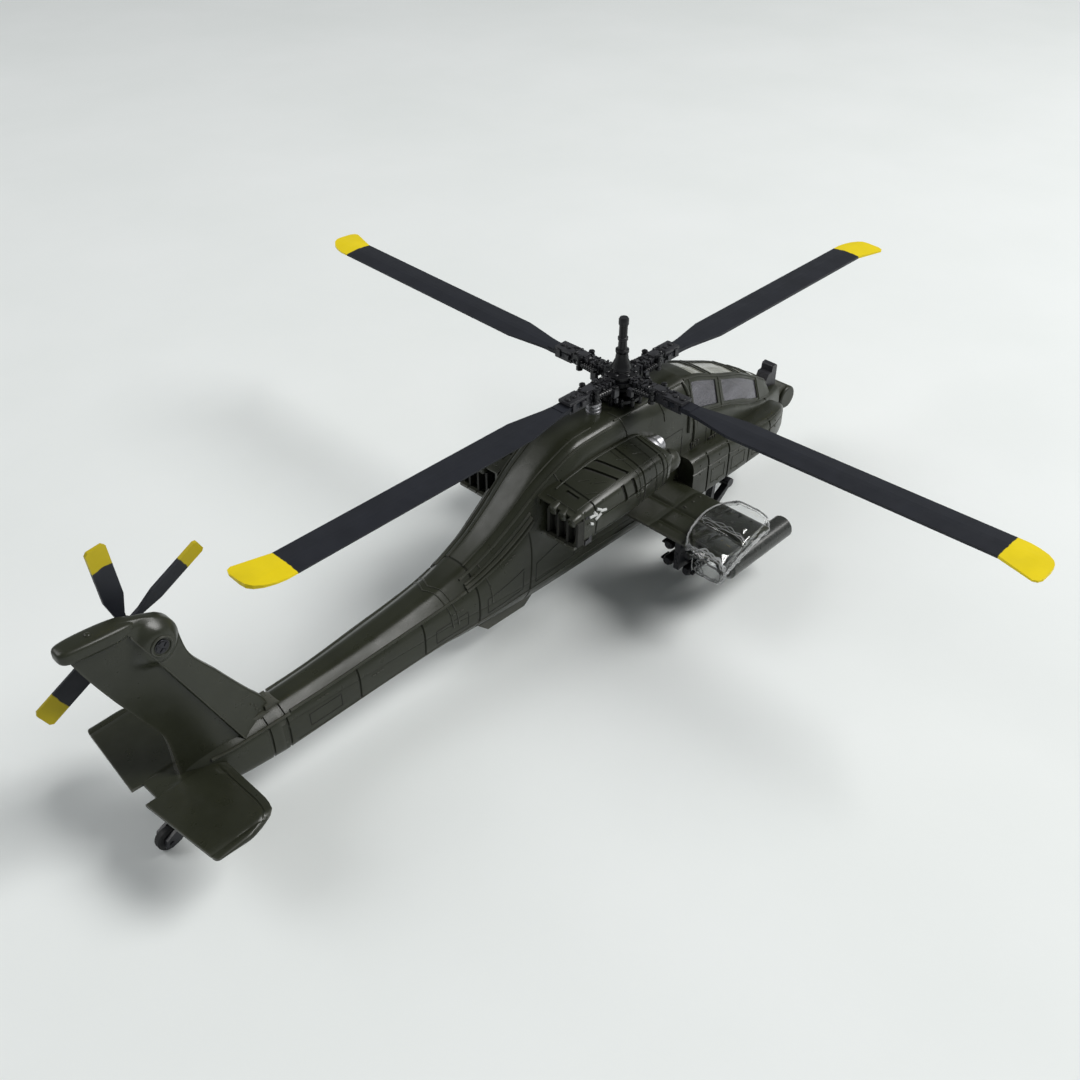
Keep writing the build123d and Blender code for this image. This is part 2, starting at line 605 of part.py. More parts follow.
def missiles(side):
    """Four round-nosed missiles with tail fins, two over two."""
    with BuildPart() as body:
        for rail_z in RAIL_Z:
            for dy in (-RACK_HALF, RACK_HALF):
                y = side * STORE_Y + dy
                with BuildSketch(Plane.XZ.offset(-y)):
                    with BuildLine():
                        Polyline((22.0, rail_z), (22.0, rail_z + 1.3), (22.8, rail_z + MISSILE_R),
                                 (45.4, rail_z + MISSILE_R), (47.2, rail_z + 1.4), (48.6, rail_z + 0.8),
                                 (49.0, rail_z), close=True)
                    make_face()
                revolve(axis=Axis((0, y, rail_z), (1, 0, 0)))
                outward = 1 if dy > 0 else -1
                add(block(22.4, 26.0, min(y, y + outward * 2.6), max(y, y + outward * 2.6),
                          rail_z - 0.25, rail_z + 0.25))
    return body


def rocket_pod(side):
    """Cylindrical rocket pod with a chamfered front and seven launch tubes."""
    with BuildPart() as body:
        add(rod_x(side * POD_Y, 16.0, POD_R, 26.0, 57.0))
        chamfer(body.edges().filter_by(GeomType.CIRCLE).sort_by(Axis.X)[-1], 0.7)
        chamfer(body.edges().filter_by(GeomType.CIRCLE).sort_by(Axis.X)[0], 1.0)
        with BuildSketch(Plane.YZ.offset(57.0)):
            with Locations((side * POD_Y, 16.0)):
                Circle(0.62)
                with PolarLocations(1.95, 6):
                    Circle(0.62)
        extrude(amount=-2.4, mode=Mode.SUBTRACT)
    return body


def gear_leg(side):
    """Trailing main gear leg with a shock strut, from the hull side back to the wheel axle."""
    inner_y, outer_y = side * 8.0, side * (MAIN_WHEEL_Y - MAIN_WHEEL_W / 2 - GAP)
    y0, y1 = sorted((inner_y, outer_y))
    y2, y3 = sorted((side * 13.6, outer_y))
    with BuildPart() as body:
        add(rod_y(66.0, 14.6, 1.6, y0, y1))
        add(prism_y([(66.8, 16.0), (65.4, 13.2), (54.6, 4.6), (53.4, 7.0)], y2, y3))
        add(rod_y(MAIN_WHEEL_X, MAIN_WHEEL_R, 1.9, y2, y3))
        add(prism_y([(54.4, 6.4), (56.4, 6.4), (57.6, 20.0), (56.2, 20.0)], y2, y3))
        add(hull_outer.part, mode=Mode.SUBTRACT)
        add(bays[side].part, mode=Mode.SUBTRACT)
        add(rod_y(MAIN_WHEEL_X, MAIN_WHEEL_R, 0.9, y2 - 5, y3 + 5), mode=Mode.SUBTRACT)
    return body


def main_axle(side):
    """Headed axle pin of one main wheel."""
    tip = side * 14.0
    face = side * (MAIN_WHEEL_Y + MAIN_WHEEL_W / 2 + GAP)
    head = side * (MAIN_WHEEL_Y + MAIN_WHEEL_W / 2 + GAP + 0.7)
    with BuildPart() as body:
        add(rod_y(MAIN_WHEEL_X, MAIN_WHEEL_R, 0.9, *sorted((tip, face))))
        add(rod_y(MAIN_WHEEL_X, MAIN_WHEEL_R, 1.5, *sorted((face, head))))
    return body


def main_tyre(side):
    """Black tyre with rounded shoulders."""
    half = MAIN_WHEEL_W / 2
    y = side * MAIN_WHEEL_Y
    with BuildPart() as body:
        add(rod_y(MAIN_WHEEL_X, MAIN_WHEEL_R, MAIN_WHEEL_R, y - half, y + half))
        fillet(body.edges().filter_by(GeomType.CIRCLE), 1.2)
        add(rod_y(MAIN_WHEEL_X, MAIN_WHEEL_R, 3.3, y - 5, y + 5), mode=Mode.SUBTRACT)
    return body


def main_rim(side):
    """Wheel rim pressed into the tyre, dished on both faces and bored for the axle."""
    half = MAIN_WHEEL_W / 2
    y = side * MAIN_WHEEL_Y
    with BuildPart() as body:
        add(rod_y(MAIN_WHEEL_X, MAIN_WHEEL_R, 3.3, y - half + 0.3, y + half - 0.3))
        for y0 in (y - half + 0.3, y + half - 0.9):
            with BuildSketch(Plane.XZ.offset(-(y0 + 0.6))):
                with Locations((MAIN_WHEEL_X, MAIN_WHEEL_R)):
                    Circle(2.6)
                    Circle(1.7, mode=Mode.SUBTRACT)
            extrude(amount=0.6, mode=Mode.SUBTRACT)
        add(rod_y(MAIN_WHEEL_X, MAIN_WHEEL_R, 0.9 + RUN_CLEAR, y - 5, y + 5), mode=Mode.SUBTRACT)
    return body


wings = {side: wing(side) for side in SIDES.values()}
bays = {side: side_bay(side) for side in SIDES.values()}
SIDE_PIECES = {
    "nacelle": nacelle, "pylons": pylons, "missile_rack": missile_rack, "missiles": missiles,
    "rocket_pod": rocket_pod, "main_gear_leg": gear_leg, "main_tyre": main_tyre, "main_rim": main_rim,
}
for side_name, side in SIDES.items():
    save(wings[side], f"wing_{side_name}")
    save(bays[side], f"side_bay_{side_name}")
    for piece_name, make_piece in SIDE_PIECES.items():
        save(make_piece(side), f"{piece_name}_{side_name}")

with BuildPart() as exhaust_inserts:
    for side in SIDES.values():
        add(exhaust_insert(side).part)

with BuildPart() as main_axles:
    for side in SIDES.values():
        add(main_axle(side).part)

INTAKE_BASE_X = NACELLE_FRONT_X - 7
with BuildPart() as intake_cones:
    for side in SIDES.values():
        y = side * INTAKE_Y
        with BuildSketch(Plane.XZ.offset(-y)):
            with BuildLine():
                Polyline((INTAKE_BASE_X, INTAKE_Z), (INTAKE_BASE_X, INTAKE_Z + INTAKE_R),
                         (INTAKE_BASE_X + 1.4, INTAKE_Z + INTAKE_R), (INTAKE_BASE_X + 1.8, INTAKE_Z + 2.7),
                         (INTAKE_BASE_X + 6.0, INTAKE_Z + 1.9), (INTAKE_BASE_X + 8.8, INTAKE_Z + 0.9),
                         (INTAKE_BASE_X + 9.6, INTAKE_Z), close=True)
            make_face()
        revolve(axis=Axis((0, y, INTAKE_Z), (1, 0, 0)))

# ---------------------------------------------------------------- clear film over the starboard wing tip
FILM_WALL = 0.4
with BuildPart() as film_wrap:
    add(block(11.5, 46.0, -51.0, -31.0, 20.4, 28.4))
    fillet(film_wrap.edges().filter_by(Axis.Z), 3.0)
    add(block(11.5 + FILM_WALL, 46.0 - FILM_WALL, -51.0 + FILM_WALL, -30.0, 20.0, 28.4 - FILM_WALL),
        mode=Mode.SUBTRACT)

# ---------------------------------------------------------------- belly fairing, beacon, gun
with BuildPart() as belly_fairing:
    add(prism_y([(-42, 14), (-37, 9.2), (-22, 9.0), (-16, 14)], -6.2, 6.2))
    fillet(belly_fairing.edges().filter_by(Axis.X), 1.5)
    add(hull_outer.part, mode=Mode.SUBTRACT)

BEACON_X, BEACON_R, BEACON_FOOT_Z, BEACON_RIBS, BEACON_RIB_H = 13.2, 2.0, 56.5, 3, 1.6
with BuildPart() as beacon:
    cap_z = BEACON_FOOT_Z + BEACON_RIBS * BEACON_RIB_H + 0.8
    add(rod_z(BEACON_X, 0, BEACON_R - 0.4, BEACON_FOOT_Z - 1, cap_z))
    for rib in range(BEACON_RIBS):
        rib_z = BEACON_FOOT_Z + 0.5 + rib * BEACON_RIB_H
        add(rod_z(BEACON_X, 0, BEACON_R, rib_z, rib_z + BEACON_RIB_H / 2))
    fillet(beacon.edges().filter_by(GeomType.CIRCLE).sort_by(Axis.Z)[-1], 0.5)
    add(hull_outer.part, mode=Mode.SUBTRACT)

TURRET_TOP = 11.6
with BuildPart() as gun_turret:
    add(rod_z(GUN_X, 0, GUN_PIVOT_R, TURRET_TOP - 1, 14.8))
    add(rod_z(GUN_X, 0, 4.0, 9.6, TURRET_TOP))
    add(block(GUN_X - 4.5, GUN_X + 3.5, -2.2, 2.2, 5.6, 9.6))
    add(rod_x(0, GUN_BARREL_Z, 0.8, GUN_X - 6, GUN_X + 6), mode=Mode.SUBTRACT)

with BuildPart() as gun_barrel:
    add(rod_x(0, GUN_BARREL_Z, 0.8, GUN_X - 5.5, GUN_X + 24))
    add(rod_x(0, GUN_BARREL_Z, 1.2, GUN_X + 21.5, GUN_X + 24))
    add(rod_x(0, GUN_BARREL_Z, 1.2, GUN_X + 3.5, GUN_X + 6))

# ---------------------------------------------------------------- main rotor
SHAFT_TOP, SHAFT_FOOT = ROTOR_Z + 3.2, BEARING_Z0 - 1.4
with BuildPart() as rotor_shaft:
    add(rod_z(MAST_X, 0, SHAFT_R, SHAFT_FOOT, SHAFT_TOP))

with BuildPart() as rotor_retainer:
    add(rod_z(MAST_X, 0, 3.0, BEARING_Z0 - 1.1, BEARING_Z0 - GAP))
    add(rod_z(MAST_X, 0, SHAFT_R, BEARING_Z0 - 2, BEARING_Z0), mode=Mode.SUBTRACT)

with BuildPart() as swashplate:
    add(rod_z(MAST_X, 0, 5.6, 58.0, 59.4))
    add(rod_z(MAST_X, 0, 6.6, 59.4, 60.6))
    for turn in range(8):
        angle = math.radians(45 * turn + 22.5)
        add(rod_z(MAST_X + 6.2 * math.cos(angle), 6.2 * math.sin(angle), 0.8, 57.0, 61.0))
    add(hull_outer.part, mode=Mode.SUBTRACT)
    add(rod_z(MAST_X, 0, BEARING_R, 50, 70), mode=Mode.SUBTRACT)
    add(rod_z(MAST_X, 0, SHAFT_R + GAP, 50, 70), mode=Mode.SUBTRACT)

ARM_HALF_Z, ARM_HALF_W, ARM_SLOT_HALF_Z = 1.8, 2.4, 0.8
DAMPER_W, DAMPER_R = 3.0, 1.0
PIN_RADII = (20.6, 23.0)
PIN_R = 0.6
BLADE_ANGLES = (0, 90, 180, 270)


def arm_block(r0, r1, half_w, z0, z1, angle):
    """Block on the hub arm at the given angle, between two radii."""
    return block(r0, r1, -half_w, half_w, z0, z1).rotate(Axis.Z, angle).moved(Location((MAST_X, 0, 0)))


def arm_rod(r, w, radius, z0, z1, angle):
    """Upright rod beside the arm at the given angle, r out and w across."""
    return rod_z(r, w, radius, z0, z1).rotate(Axis.Z, angle).moved(Location((MAST_X, 0, 0)))


with BuildPart() as rotor_hub:
    add(rod_z(MAST_X, 0, 5.6, ROTOR_Z - 2.6, ROTOR_Z + 2.0))
    add(rod_z(MAST_X, 0, 3.4, ROTOR_Z + 2.0, ROTOR_Z + 3.2))
    for angle in BLADE_ANGLES:
        add(arm_block(4.0, 12.5, 2.2, ROTOR_Z - 1.5, ROTOR_Z + 1.5, angle))
        add(arm_block(11.0, HUB_ARM_R, ARM_HALF_W, ROTOR_Z - ARM_HALF_Z, ROTOR_Z + ARM_HALF_Z, angle))
        for side in (PORT, STARBOARD):
            add(arm_rod(14.0, side * DAMPER_W, DAMPER_R, ROTOR_Z - 2.2, ROTOR_Z + 2.2, angle))
        add(arm_block(12.6, 15.4, DAMPER_W, ROTOR_Z - 1.0, ROTOR_Z + 1.0, angle))
        add(arm_block(6.0, 8.0, 5.2, ROTOR_Z - 2.2, ROTOR_Z + 0.4, angle))
    for angle in BLADE_ANGLES:
        slot_z0, slot_z1 = ROTOR_Z - ARM_SLOT_HALF_Z, ROTOR_Z + ARM_SLOT_HALF_Z
        add(arm_block(18.6, HUB_ARM_R + 1, 3.0, slot_z0, slot_z1, angle), mode=Mode.SUBTRACT)
        for pin_r in PIN_RADII:
            add(arm_rod(pin_r, 0, PIN_R, ROTOR_Z - 5, ROTOR_Z + 5, angle), mode=Mode.SUBTRACT)
    add(rod_z(MAST_X, 0, SHAFT_R, ROTOR_Z - 5, ROTOR_Z + 5), mode=Mode.SUBTRACT)

with BuildPart() as blade_pins:
    for angle in BLADE_ANGLES:
        for pin_r in PIN_RADII:
            add(arm_rod(pin_r, 0, PIN_R, ROTOR_Z - 2.5, ROTOR_Z + 2.5, angle))

with BuildPart() as pitch_links:
    for angle in BLADE_ANGLES:
        add(arm_rod(6.9, 4.4, 0.6, 61.3, ROTOR_Z - 2.2, angle))

# Turned rings of the mast post, foot to tip: radius and height.
MAST_RINGS = [
    (3.2, SHAFT_TOP), (3.0, 69.4), (1.9, 71.4), (1.7, 73.4), (2.5, 73.7), (2.5, 74.7), (1.4, 75.2),
    (1.2, 77.4), (1.6, 77.6), (1.6, 78.6), (1.1, 78.9), (1.2, 82.4), (1.5, 82.8), (1.4, 84.2),
]
MAST_TIP_Z = 84.5
with BuildPart() as mast_post:
    with BuildSketch(Plane.XZ):
        with BuildLine():
            rings = [(MAST_X + radius, z) for radius, z in MAST_RINGS]
            Polyline((MAST_X, SHAFT_TOP), *rings, (MAST_X, MAST_TIP_Z), close=True)
        make_face()
    revolve(axis=Axis((MAST_X, 0, 0), (0, 0, 1)))

HALF_C, HALF_T = BLADE_CHORD / 2, BLADE_THICK / 2
TIP_DROP = 3.0         # how far the swept tip reaches behind the blade
# Leading edge of the blade is on the +Y side of this plan, drawn along +X.
BLADE_PLAN = [
    (HUB_ARM_R, -2.2), (30.0, -2.8), (42.0, -HALF_C), (SWEEP_START_R, -HALF_C),
    (ROTOR_R - 1.8, -HALF_C - TIP_DROP), (ROTOR_R - 0.6, -HALF_C - TIP_DROP + 0.5),
    (ROTOR_R, -HALF_C - TIP_DROP + 2.0), (ROTOR_R, -2.0), (ROTOR_R - 0.3, 0.2), (ROTOR_R - 1.3, 1.9),
    (ROTOR_R - 3.2, 3.4), (ROTOR_R - 5.8, 4.5), (ROTOR_R - 8.6, HALF_C), (42.0, HALF_C), (30.0, 2.8),
    (HUB_ARM_R, 2.2),
]
# Blades stand up or droop a little from the hub, in degrees.
BLADE_CONING = {0: 0.4, 90: 1.2, 180: -0.6, 270: 1.4}
CONING_R = 26.0


def rotor_blade(angle):
    """Blade with a crowned section, a root tab for the hub slot and a swept tip."""
    edge, crown = 0.25, 0.8
    low_half = HALF_C + TIP_DROP + 0.2
    with BuildPart() as flat:
        with BuildSketch(Plane.XY.offset(ROTOR_Z - HALF_T)):
            with BuildLine():
                Polyline(*BLADE_PLAN, close=True)
            make_face()
        extrude(amount=BLADE_THICK)
        with BuildSketch(Plane.YZ.offset(HUB_ARM_R - 1)):
            with BuildLine():
                Polyline((-low_half, ROTOR_Z - edge), (-crown, ROTOR_Z - HALF_T), (crown, ROTOR_Z - HALF_T),
                         (HALF_C, ROTOR_Z - edge), (HALF_C, ROTOR_Z + edge), (crown, ROTOR_Z + HALF_T),
                         (-crown, ROTOR_Z + HALF_T), (-low_half, ROTOR_Z + edge), close=True)
            make_face()
        extrude(amount=ROTOR_R, mode=Mode.INTERSECT)
    coned = flat.part.rotate(Axis((CONING_R, 0, ROTOR_Z), (0, -1, 0)), BLADE_CONING[angle])
    with BuildPart() as body:
        add(coned)
        add(block(18.8, HUB_ARM_R + 3, -2.2, 2.2, ROTOR_Z - ARM_SLOT_HALF_Z, ROTOR_Z + ARM_SLOT_HALF_Z))
        for pin_r in PIN_RADII:
            add(rod_z(pin_r, 0, PIN_R, ROTOR_Z - 5, ROTOR_Z + 5), mode=Mode.SUBTRACT)
    with BuildPart() as placed:
        add(body.part.rotate(Axis.Z, angle).moved(Location((MAST_X, 0, 0))))
    return placed


for number, angle in enumerate(BLADE_ANGLES, start=1):
    save(rotor_blade(angle), f"main_blade_{number}")

# ---------------------------------------------------------------- tail rotor
PAIR_T = 1.0
# Blade pairs: angle in the disc, blade pitch, y of the middle of the moulding.
TAIL_PAIRS = {
    "tail_blade_pair_upright": (94.5, 4.0, TAIL_HUB_Y + 0.9),
    "tail_blade_pair_slanted": (28.5, 16.0, TAIL_HUB_Y + 2.7),
}
TAIL_HUB_R, TAIL_CAP_Y = 2.6, TAIL_HUB_Y + 4.2
PIN_HEAD_R, PIN_HEAD_H = 1.5, 0.9

with BuildPart() as tail_rotor_hub:
    add(rod_y(TAIL_AXIS_X, TAIL_AXIS_Z, TAIL_HUB_R, GEARBOX_Y1 + GAP, TAIL_CAP_Y))
    fillet(tail_rotor_hub.edges().filter_by(GeomType.CIRCLE).sort_by(Axis.Y)[-1], 0.6)
    add(rod_y(TAIL_AXIS_X, TAIL_AXIS_Z, TAIL_PIN_R + RUN_CLEAR, 0, 15), mode=Mode.SUBTRACT)

with BuildPart() as tail_rotor_pin:
    add(rod_y(TAIL_AXIS_X, TAIL_AXIS_Z, TAIL_PIN_R, TAIL_PIN_Y0, TAIL_CAP_Y + GAP))
    add(rod_y(TAIL_AXIS_X, TAIL_AXIS_Z, PIN_HEAD_R, TAIL_CAP_Y + GAP, TAIL_CAP_Y + GAP + PIN_HEAD_H))
    fillet(tail_rotor_pin.edges().filter_by(GeomType.CIRCLE).sort_by(Axis.Y)[-1], 0.4)

with BuildPart() as fin_screw:
    add(rod_y(FIN_SCREW_X, FIN_SCREW_Z, FIN_SCREW_HEAD_R, FIN_SEAT_Y - 1.2, FIN_SEAT_Y))
    add(rod_y(FIN_SCREW_X, FIN_SCREW_Z, FIN_SCREW_R, FIN_SEAT_Y, FIN_SCREW_TIP_Y))
    for turn in (45, 135):
        with BuildSketch(Plane.XZ.offset(-(FIN_SEAT_Y - 0.6))):
            with Locations((FIN_SCREW_X, FIN_SCREW_Z)):
                Rectangle(2.6, 0.6, rotation=turn)
        extrude(amount=1.0, mode=Mode.SUBTRACT)


def tail_blade(tilt, pitch, y):
    """One tail rotor blade, drawn along its own axis in a plane turned by its pitch."""
    a, p = math.radians(tilt), math.radians(pitch)
    along = (math.cos(a), 0, math.sin(a))
    normal = (-math.sin(a) * math.sin(p), math.cos(p), math.cos(a) * math.sin(p))
    half_c, neck = TAIL_CHORD / 2, 1.2
    rim, corner = TAIL_ROTOR_R, 0.7
    with BuildPart() as body:
        with BuildSketch(Plane((TAIL_AXIS_X, y, TAIL_AXIS_Z), x_dir=along, z_dir=normal)):
            with BuildLine():
                Polyline((3.0, neck), (6.0, neck), (11.0, half_c), (rim - corner, half_c),
                         (rim, half_c - corner), (rim, corner - half_c), (rim - corner, -half_c),
                         (11.0, -half_c), (6.0, -neck), (3.0, -neck), close=True)
            make_face()
        extrude(amount=0.4, both=True)
    return body.part


def tail_blade_pair(tilt, pitch, y):
    """Two opposite tail rotor blades in one moulding, pressed over the hub."""
    with BuildPart() as body:
        add(rod_y(TAIL_AXIS_X, TAIL_AXIS_Z, 3.5, y - PAIR_T / 2, y + PAIR_T / 2))
        add(tail_blade(tilt, pitch, y))
        add(tail_blade(tilt + 180, pitch, y))
        add(rod_y(TAIL_AXIS_X, TAIL_AXIS_Z, TAIL_HUB_R, y - 2, y + 2), mode=Mode.SUBTRACT)
    return body


for pair_name, (tilt, pitch, pair_y) in TAIL_PAIRS.items():
    save(tail_blade_pair(tilt, pitch, pair_y), pair_name)

# ---------------------------------------------------------------- write the single pieces
SINGLE_PIECES = {
    "fuselage_upper": fuselage_upper, "fuselage_lower": fuselage_lower, "body_screws": body_screws,
    "tail_fin": tail_fin, "fin_screw": fin_screw, "stabilizer": stabilizer,
    "tail_gear_fork": tail_gear_fork, "tail_wheel_pin": tail_wheel_pin, "tail_wheel": tail_wheel,
    "canopy_frame": canopy_frame, "canopy_glazing": canopy_glazing, "cockpit_tub": cockpit_tub,
    "cockpit_seats": cockpit_seats, "instrument_panels": instrument_panels,
    "sensor_drum": sensor_drum, "sensor_housing": sensor_housing, "night_sensor": night_sensor,
    "intake_cones": intake_cones, "exhaust_inserts": exhaust_inserts, "main_axles": main_axles,
    "film_wrap": film_wrap, "belly_fairing": belly_fairing, "beacon": beacon,
    "gun_turret": gun_turret, "gun_barrel": gun_barrel,
    "rotor_shaft": rotor_shaft, "rotor_retainer": rotor_retainer, "swashplate": swashplate,
    "rotor_hub": rotor_hub, "blade_pins": blade_pins, "pitch_links": pitch_links, "mast_post": mast_post,
    "tail_rotor_hub": tail_rotor_hub, "tail_rotor_pin": tail_rotor_pin,
}
for piece_name, piece in SINGLE_PIECES.items():
    save(piece, piece_name)
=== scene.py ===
import json
import math

import bmesh
import bpy
import mathutils
from mathutils import Matrix, Vector


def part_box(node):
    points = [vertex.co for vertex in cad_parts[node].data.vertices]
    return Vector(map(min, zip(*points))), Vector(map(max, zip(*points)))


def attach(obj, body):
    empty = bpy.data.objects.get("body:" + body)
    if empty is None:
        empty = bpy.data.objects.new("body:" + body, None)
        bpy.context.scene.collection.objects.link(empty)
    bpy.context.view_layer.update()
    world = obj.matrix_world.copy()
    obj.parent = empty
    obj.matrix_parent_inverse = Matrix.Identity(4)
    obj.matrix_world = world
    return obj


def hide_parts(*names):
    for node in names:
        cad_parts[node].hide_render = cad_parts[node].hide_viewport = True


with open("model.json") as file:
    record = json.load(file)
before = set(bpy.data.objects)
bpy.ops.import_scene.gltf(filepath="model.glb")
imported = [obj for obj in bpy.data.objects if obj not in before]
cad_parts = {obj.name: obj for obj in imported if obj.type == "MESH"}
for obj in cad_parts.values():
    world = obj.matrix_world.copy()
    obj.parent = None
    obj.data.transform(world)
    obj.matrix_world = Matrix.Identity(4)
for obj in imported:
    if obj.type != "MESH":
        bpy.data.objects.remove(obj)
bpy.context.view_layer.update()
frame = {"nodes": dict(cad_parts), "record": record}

MM = 0.001
NODES = frame["nodes"]


# ---------------------------------------------------------------- camera
def box_centre(node):
    """Centre of a node's box in metres."""
    low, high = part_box(node)
    return (low + high) / 2


def box_mm(node):
    """Centre and full size of a node's box in millimetres."""
    low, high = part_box(node)
    return (low + high) / 2 / MM, (high - low) / MM


HUB = Vector((box_centre("rotor_shaft").x, 0.0, box_centre("main_blade_1").z))
VIEW_YAW = math.radians(43.634)
VIEW_PITCH = math.radians(37.447)
VIEW_ROLL = math.radians(0.461)
VIEW_FROM_HUB = Vector((-238.92, -195.41, 174.76)) * MM
LENS_MM, SENSOR_MM = 39.68, 36.0


def make_camera():
    """Camera behind and to starboard, looking down towards the nose."""
    data = bpy.data.cameras.new("camera")
    data.lens = LENS_MM
    data.sensor_width = SENSOR_MM
    data.clip_start, data.clip_end = 0.01, 50.0
    camera = bpy.data.objects.new("camera", data)
    bpy.context.scene.collection.objects.link(camera)
    forward = Vector((math.cos(VIEW_PITCH) * math.cos(VIEW_YAW), math.cos(VIEW_PITCH) * math.sin(VIEW_YAW),
                      -math.sin(VIEW_PITCH)))
    right = forward.cross(Vector((0, 0, 1))).normalized()
    up = right.cross(forward)
    right, up = (right * math.cos(VIEW_ROLL) + up * math.sin(VIEW_ROLL),
                 up * math.cos(VIEW_ROLL) - right * math.sin(VIEW_ROLL))
    turn = Matrix((right, up, -forward)).transposed()
    camera.matrix_world = Matrix.Translation(HUB + VIEW_FROM_HUB) @ turn.to_4x4()
    bpy.context.scene.camera = camera


# ---------------------------------------------------------------- material helpers
def new_material(name):
    """Empty node material: returns it with its tree and its shader."""
    material = bpy.data.materials.new(name)
    material.use_nodes = True
    tree = material.node_tree
    shader = tree.nodes["Principled BSDF"]
    return material, tree, shader


def node(tree, kind, **values):
    """Adds a node and sets its inputs by name or its properties."""
    made = tree.nodes.new(kind)
    for key, value in values.items():
        if key in made.inputs:
            made.inputs[key].default_value = value
        else:
            setattr(made, key, value)
    return made


def object_coords(tree):
    """Place on the object, in metres."""
    return node(tree, "ShaderNodeTexCoord").outputs["Object"]


def noise(tree, scale, detail, rough=0.55, source=None):
    """Noise from 0 to 1 over the object, or over another source of coordinates."""
    made = node(tree, "ShaderNodeTexNoise", Scale=scale, Detail=detail, Roughness=rough)
    tree.links.new(source or object_coords(tree), made.inputs["Vector"])
    return made.outputs["Fac"]


def calc(tree, operation, a, b=None):
    """Result of a math node; a and b are sockets or numbers."""
    made = node(tree, "ShaderNodeMath", operation=operation)
    for socket, value in zip(made.inputs, (a, b)):
        if isinstance(value, (int, float)):
            socket.default_value = value
        elif value is not None:
            tree.links.new(value, socket)
    return made.outputs[0]


def mapped(tree, value, low, high, out_low, out_high):
    """Value taken from the range low to high into the range out_low to out_high."""
    made = node(tree, "ShaderNodeMapRange")
    made.clamp = True
    for key, number in zip(("From Min", "From Max", "To Min", "To Max"), (low, high, out_low, out_high)):
        made.inputs[key].default_value = number
    tree.links.new(value, made.inputs["Value"])
    return made.outputs["Result"]


def cloud(tree, scale, detail):
    """Soft clouds from 0 to 1."""
    return mapped(tree, noise(tree, scale, detail), 0.3, 0.7, 0.0, 1.0)


def mix_colour(tree, factor, a, b):
    """Colour between a at factor 0 and b at factor 1; both are tuples or sockets."""
    made = node(tree, "ShaderNodeMix", data_type="RGBA")
    tree.links.new(factor, made.inputs["Factor"])
    for key, value in (("A", a), ("B", b)):
        socket = [s for s in made.inputs if s.name == key and s.type == "RGBA"][0]
        if isinstance(value, (tuple, list)):
            socket.default_value = value if len(value) == 4 else (*value, 1.0)
        else:
            tree.links.new(value, socket)
    return [s for s in made.outputs if s.type == "RGBA"][0]


def smudged(tree, shader, scale, low, high, noise_low=0.25):
    """Roughness that wanders between low and high."""
    wander = mapped(tree, noise(tree, scale, 3.0), noise_low, 1.0 - noise_low, low, high)
    tree.links.new(wander, shader.inputs["Roughness"])


def bump(tree, shader, height, distance):
    """Fine relief of the given height in metres."""
    made = node(tree, "ShaderNodeBump", Strength=1.0, Distance=distance)
    tree.links.new(height, made.inputs["Height"])
    tree.links.new(made.outputs["Normal"], shader.inputs["Normal"])


def highlight_edge_mask(tree):
    """1 on sharp convex edges and 0 elsewhere, for a painted highlight along them."""
    pointiness = node(tree, "ShaderNodeNewGeometry").outputs["Pointiness"]
    return mapped(tree, pointiness, 0.53, 0.62, 0.0, 1.0)


def scaled(colour, factor):
    """Colour made lighter or darker."""
    return tuple(min(1.0, c * factor) for c in colour)


def moulded(name, colour, rough, grain_mm=0.25, grain_depth_mm=0.02, coat=0.0, specular=0.5, edge_highlight=None):
    """Moulded plastic or paint with fine grain, cloudy tone and an optional painted highlight along sharp
    edges.
    """
    material, tree, shader = new_material(name)
    tone = mix_colour(tree, cloud(tree, 90.0, 5.0), scaled(colour, 0.88), scaled(colour, 1.12))
    # Sharp convex edges take the lighter edge_highlight colour: a painted highlight.
    if edge_highlight is not None:
        tone = mix_colour(tree, highlight_edge_mask(tree), tone, edge_highlight)
    tree.links.new(tone, shader.inputs["Base Color"])
    smudged(tree, shader, 220.0, rough - 0.07, rough + 0.09)
    bump(tree, shader, noise(tree, 1.0 / (grain_mm * MM), 2.0), grain_depth_mm * MM)
    shader.inputs["Specular IOR Level"].default_value = specular
    shader.inputs["Coat Weight"].default_value = coat
    shader.inputs["Coat Roughness"].default_value = 0.25
    return material


# ---------------------------------------------------------------- materials
# OLIVE_EDGE_HIGHLIGHT is a lighter olive painted on sharp edges as a highlight.
OLIVE, OLIVE_EDGE_HIGHLIGHT = (0.0205, 0.0225, 0.0135), (0.055, 0.056, 0.044)
CHARCOAL = (0.0150, 0.0165, 0.0220)
BLACK = (0.0035, 0.0035, 0.0045)
# TAIL_YELLOW_PAINTED_SHADE is the same yellow darkened to about 0.6 for the tail rotor's tips: painted shade.
YELLOW, TAIL_YELLOW_PAINTED_SHADE = (0.84, 0.655, 0.006), (0.50, 0.395, 0.006)
TIP_PAINT_R, TAIL_PAINT_R = 121.4, 20.0


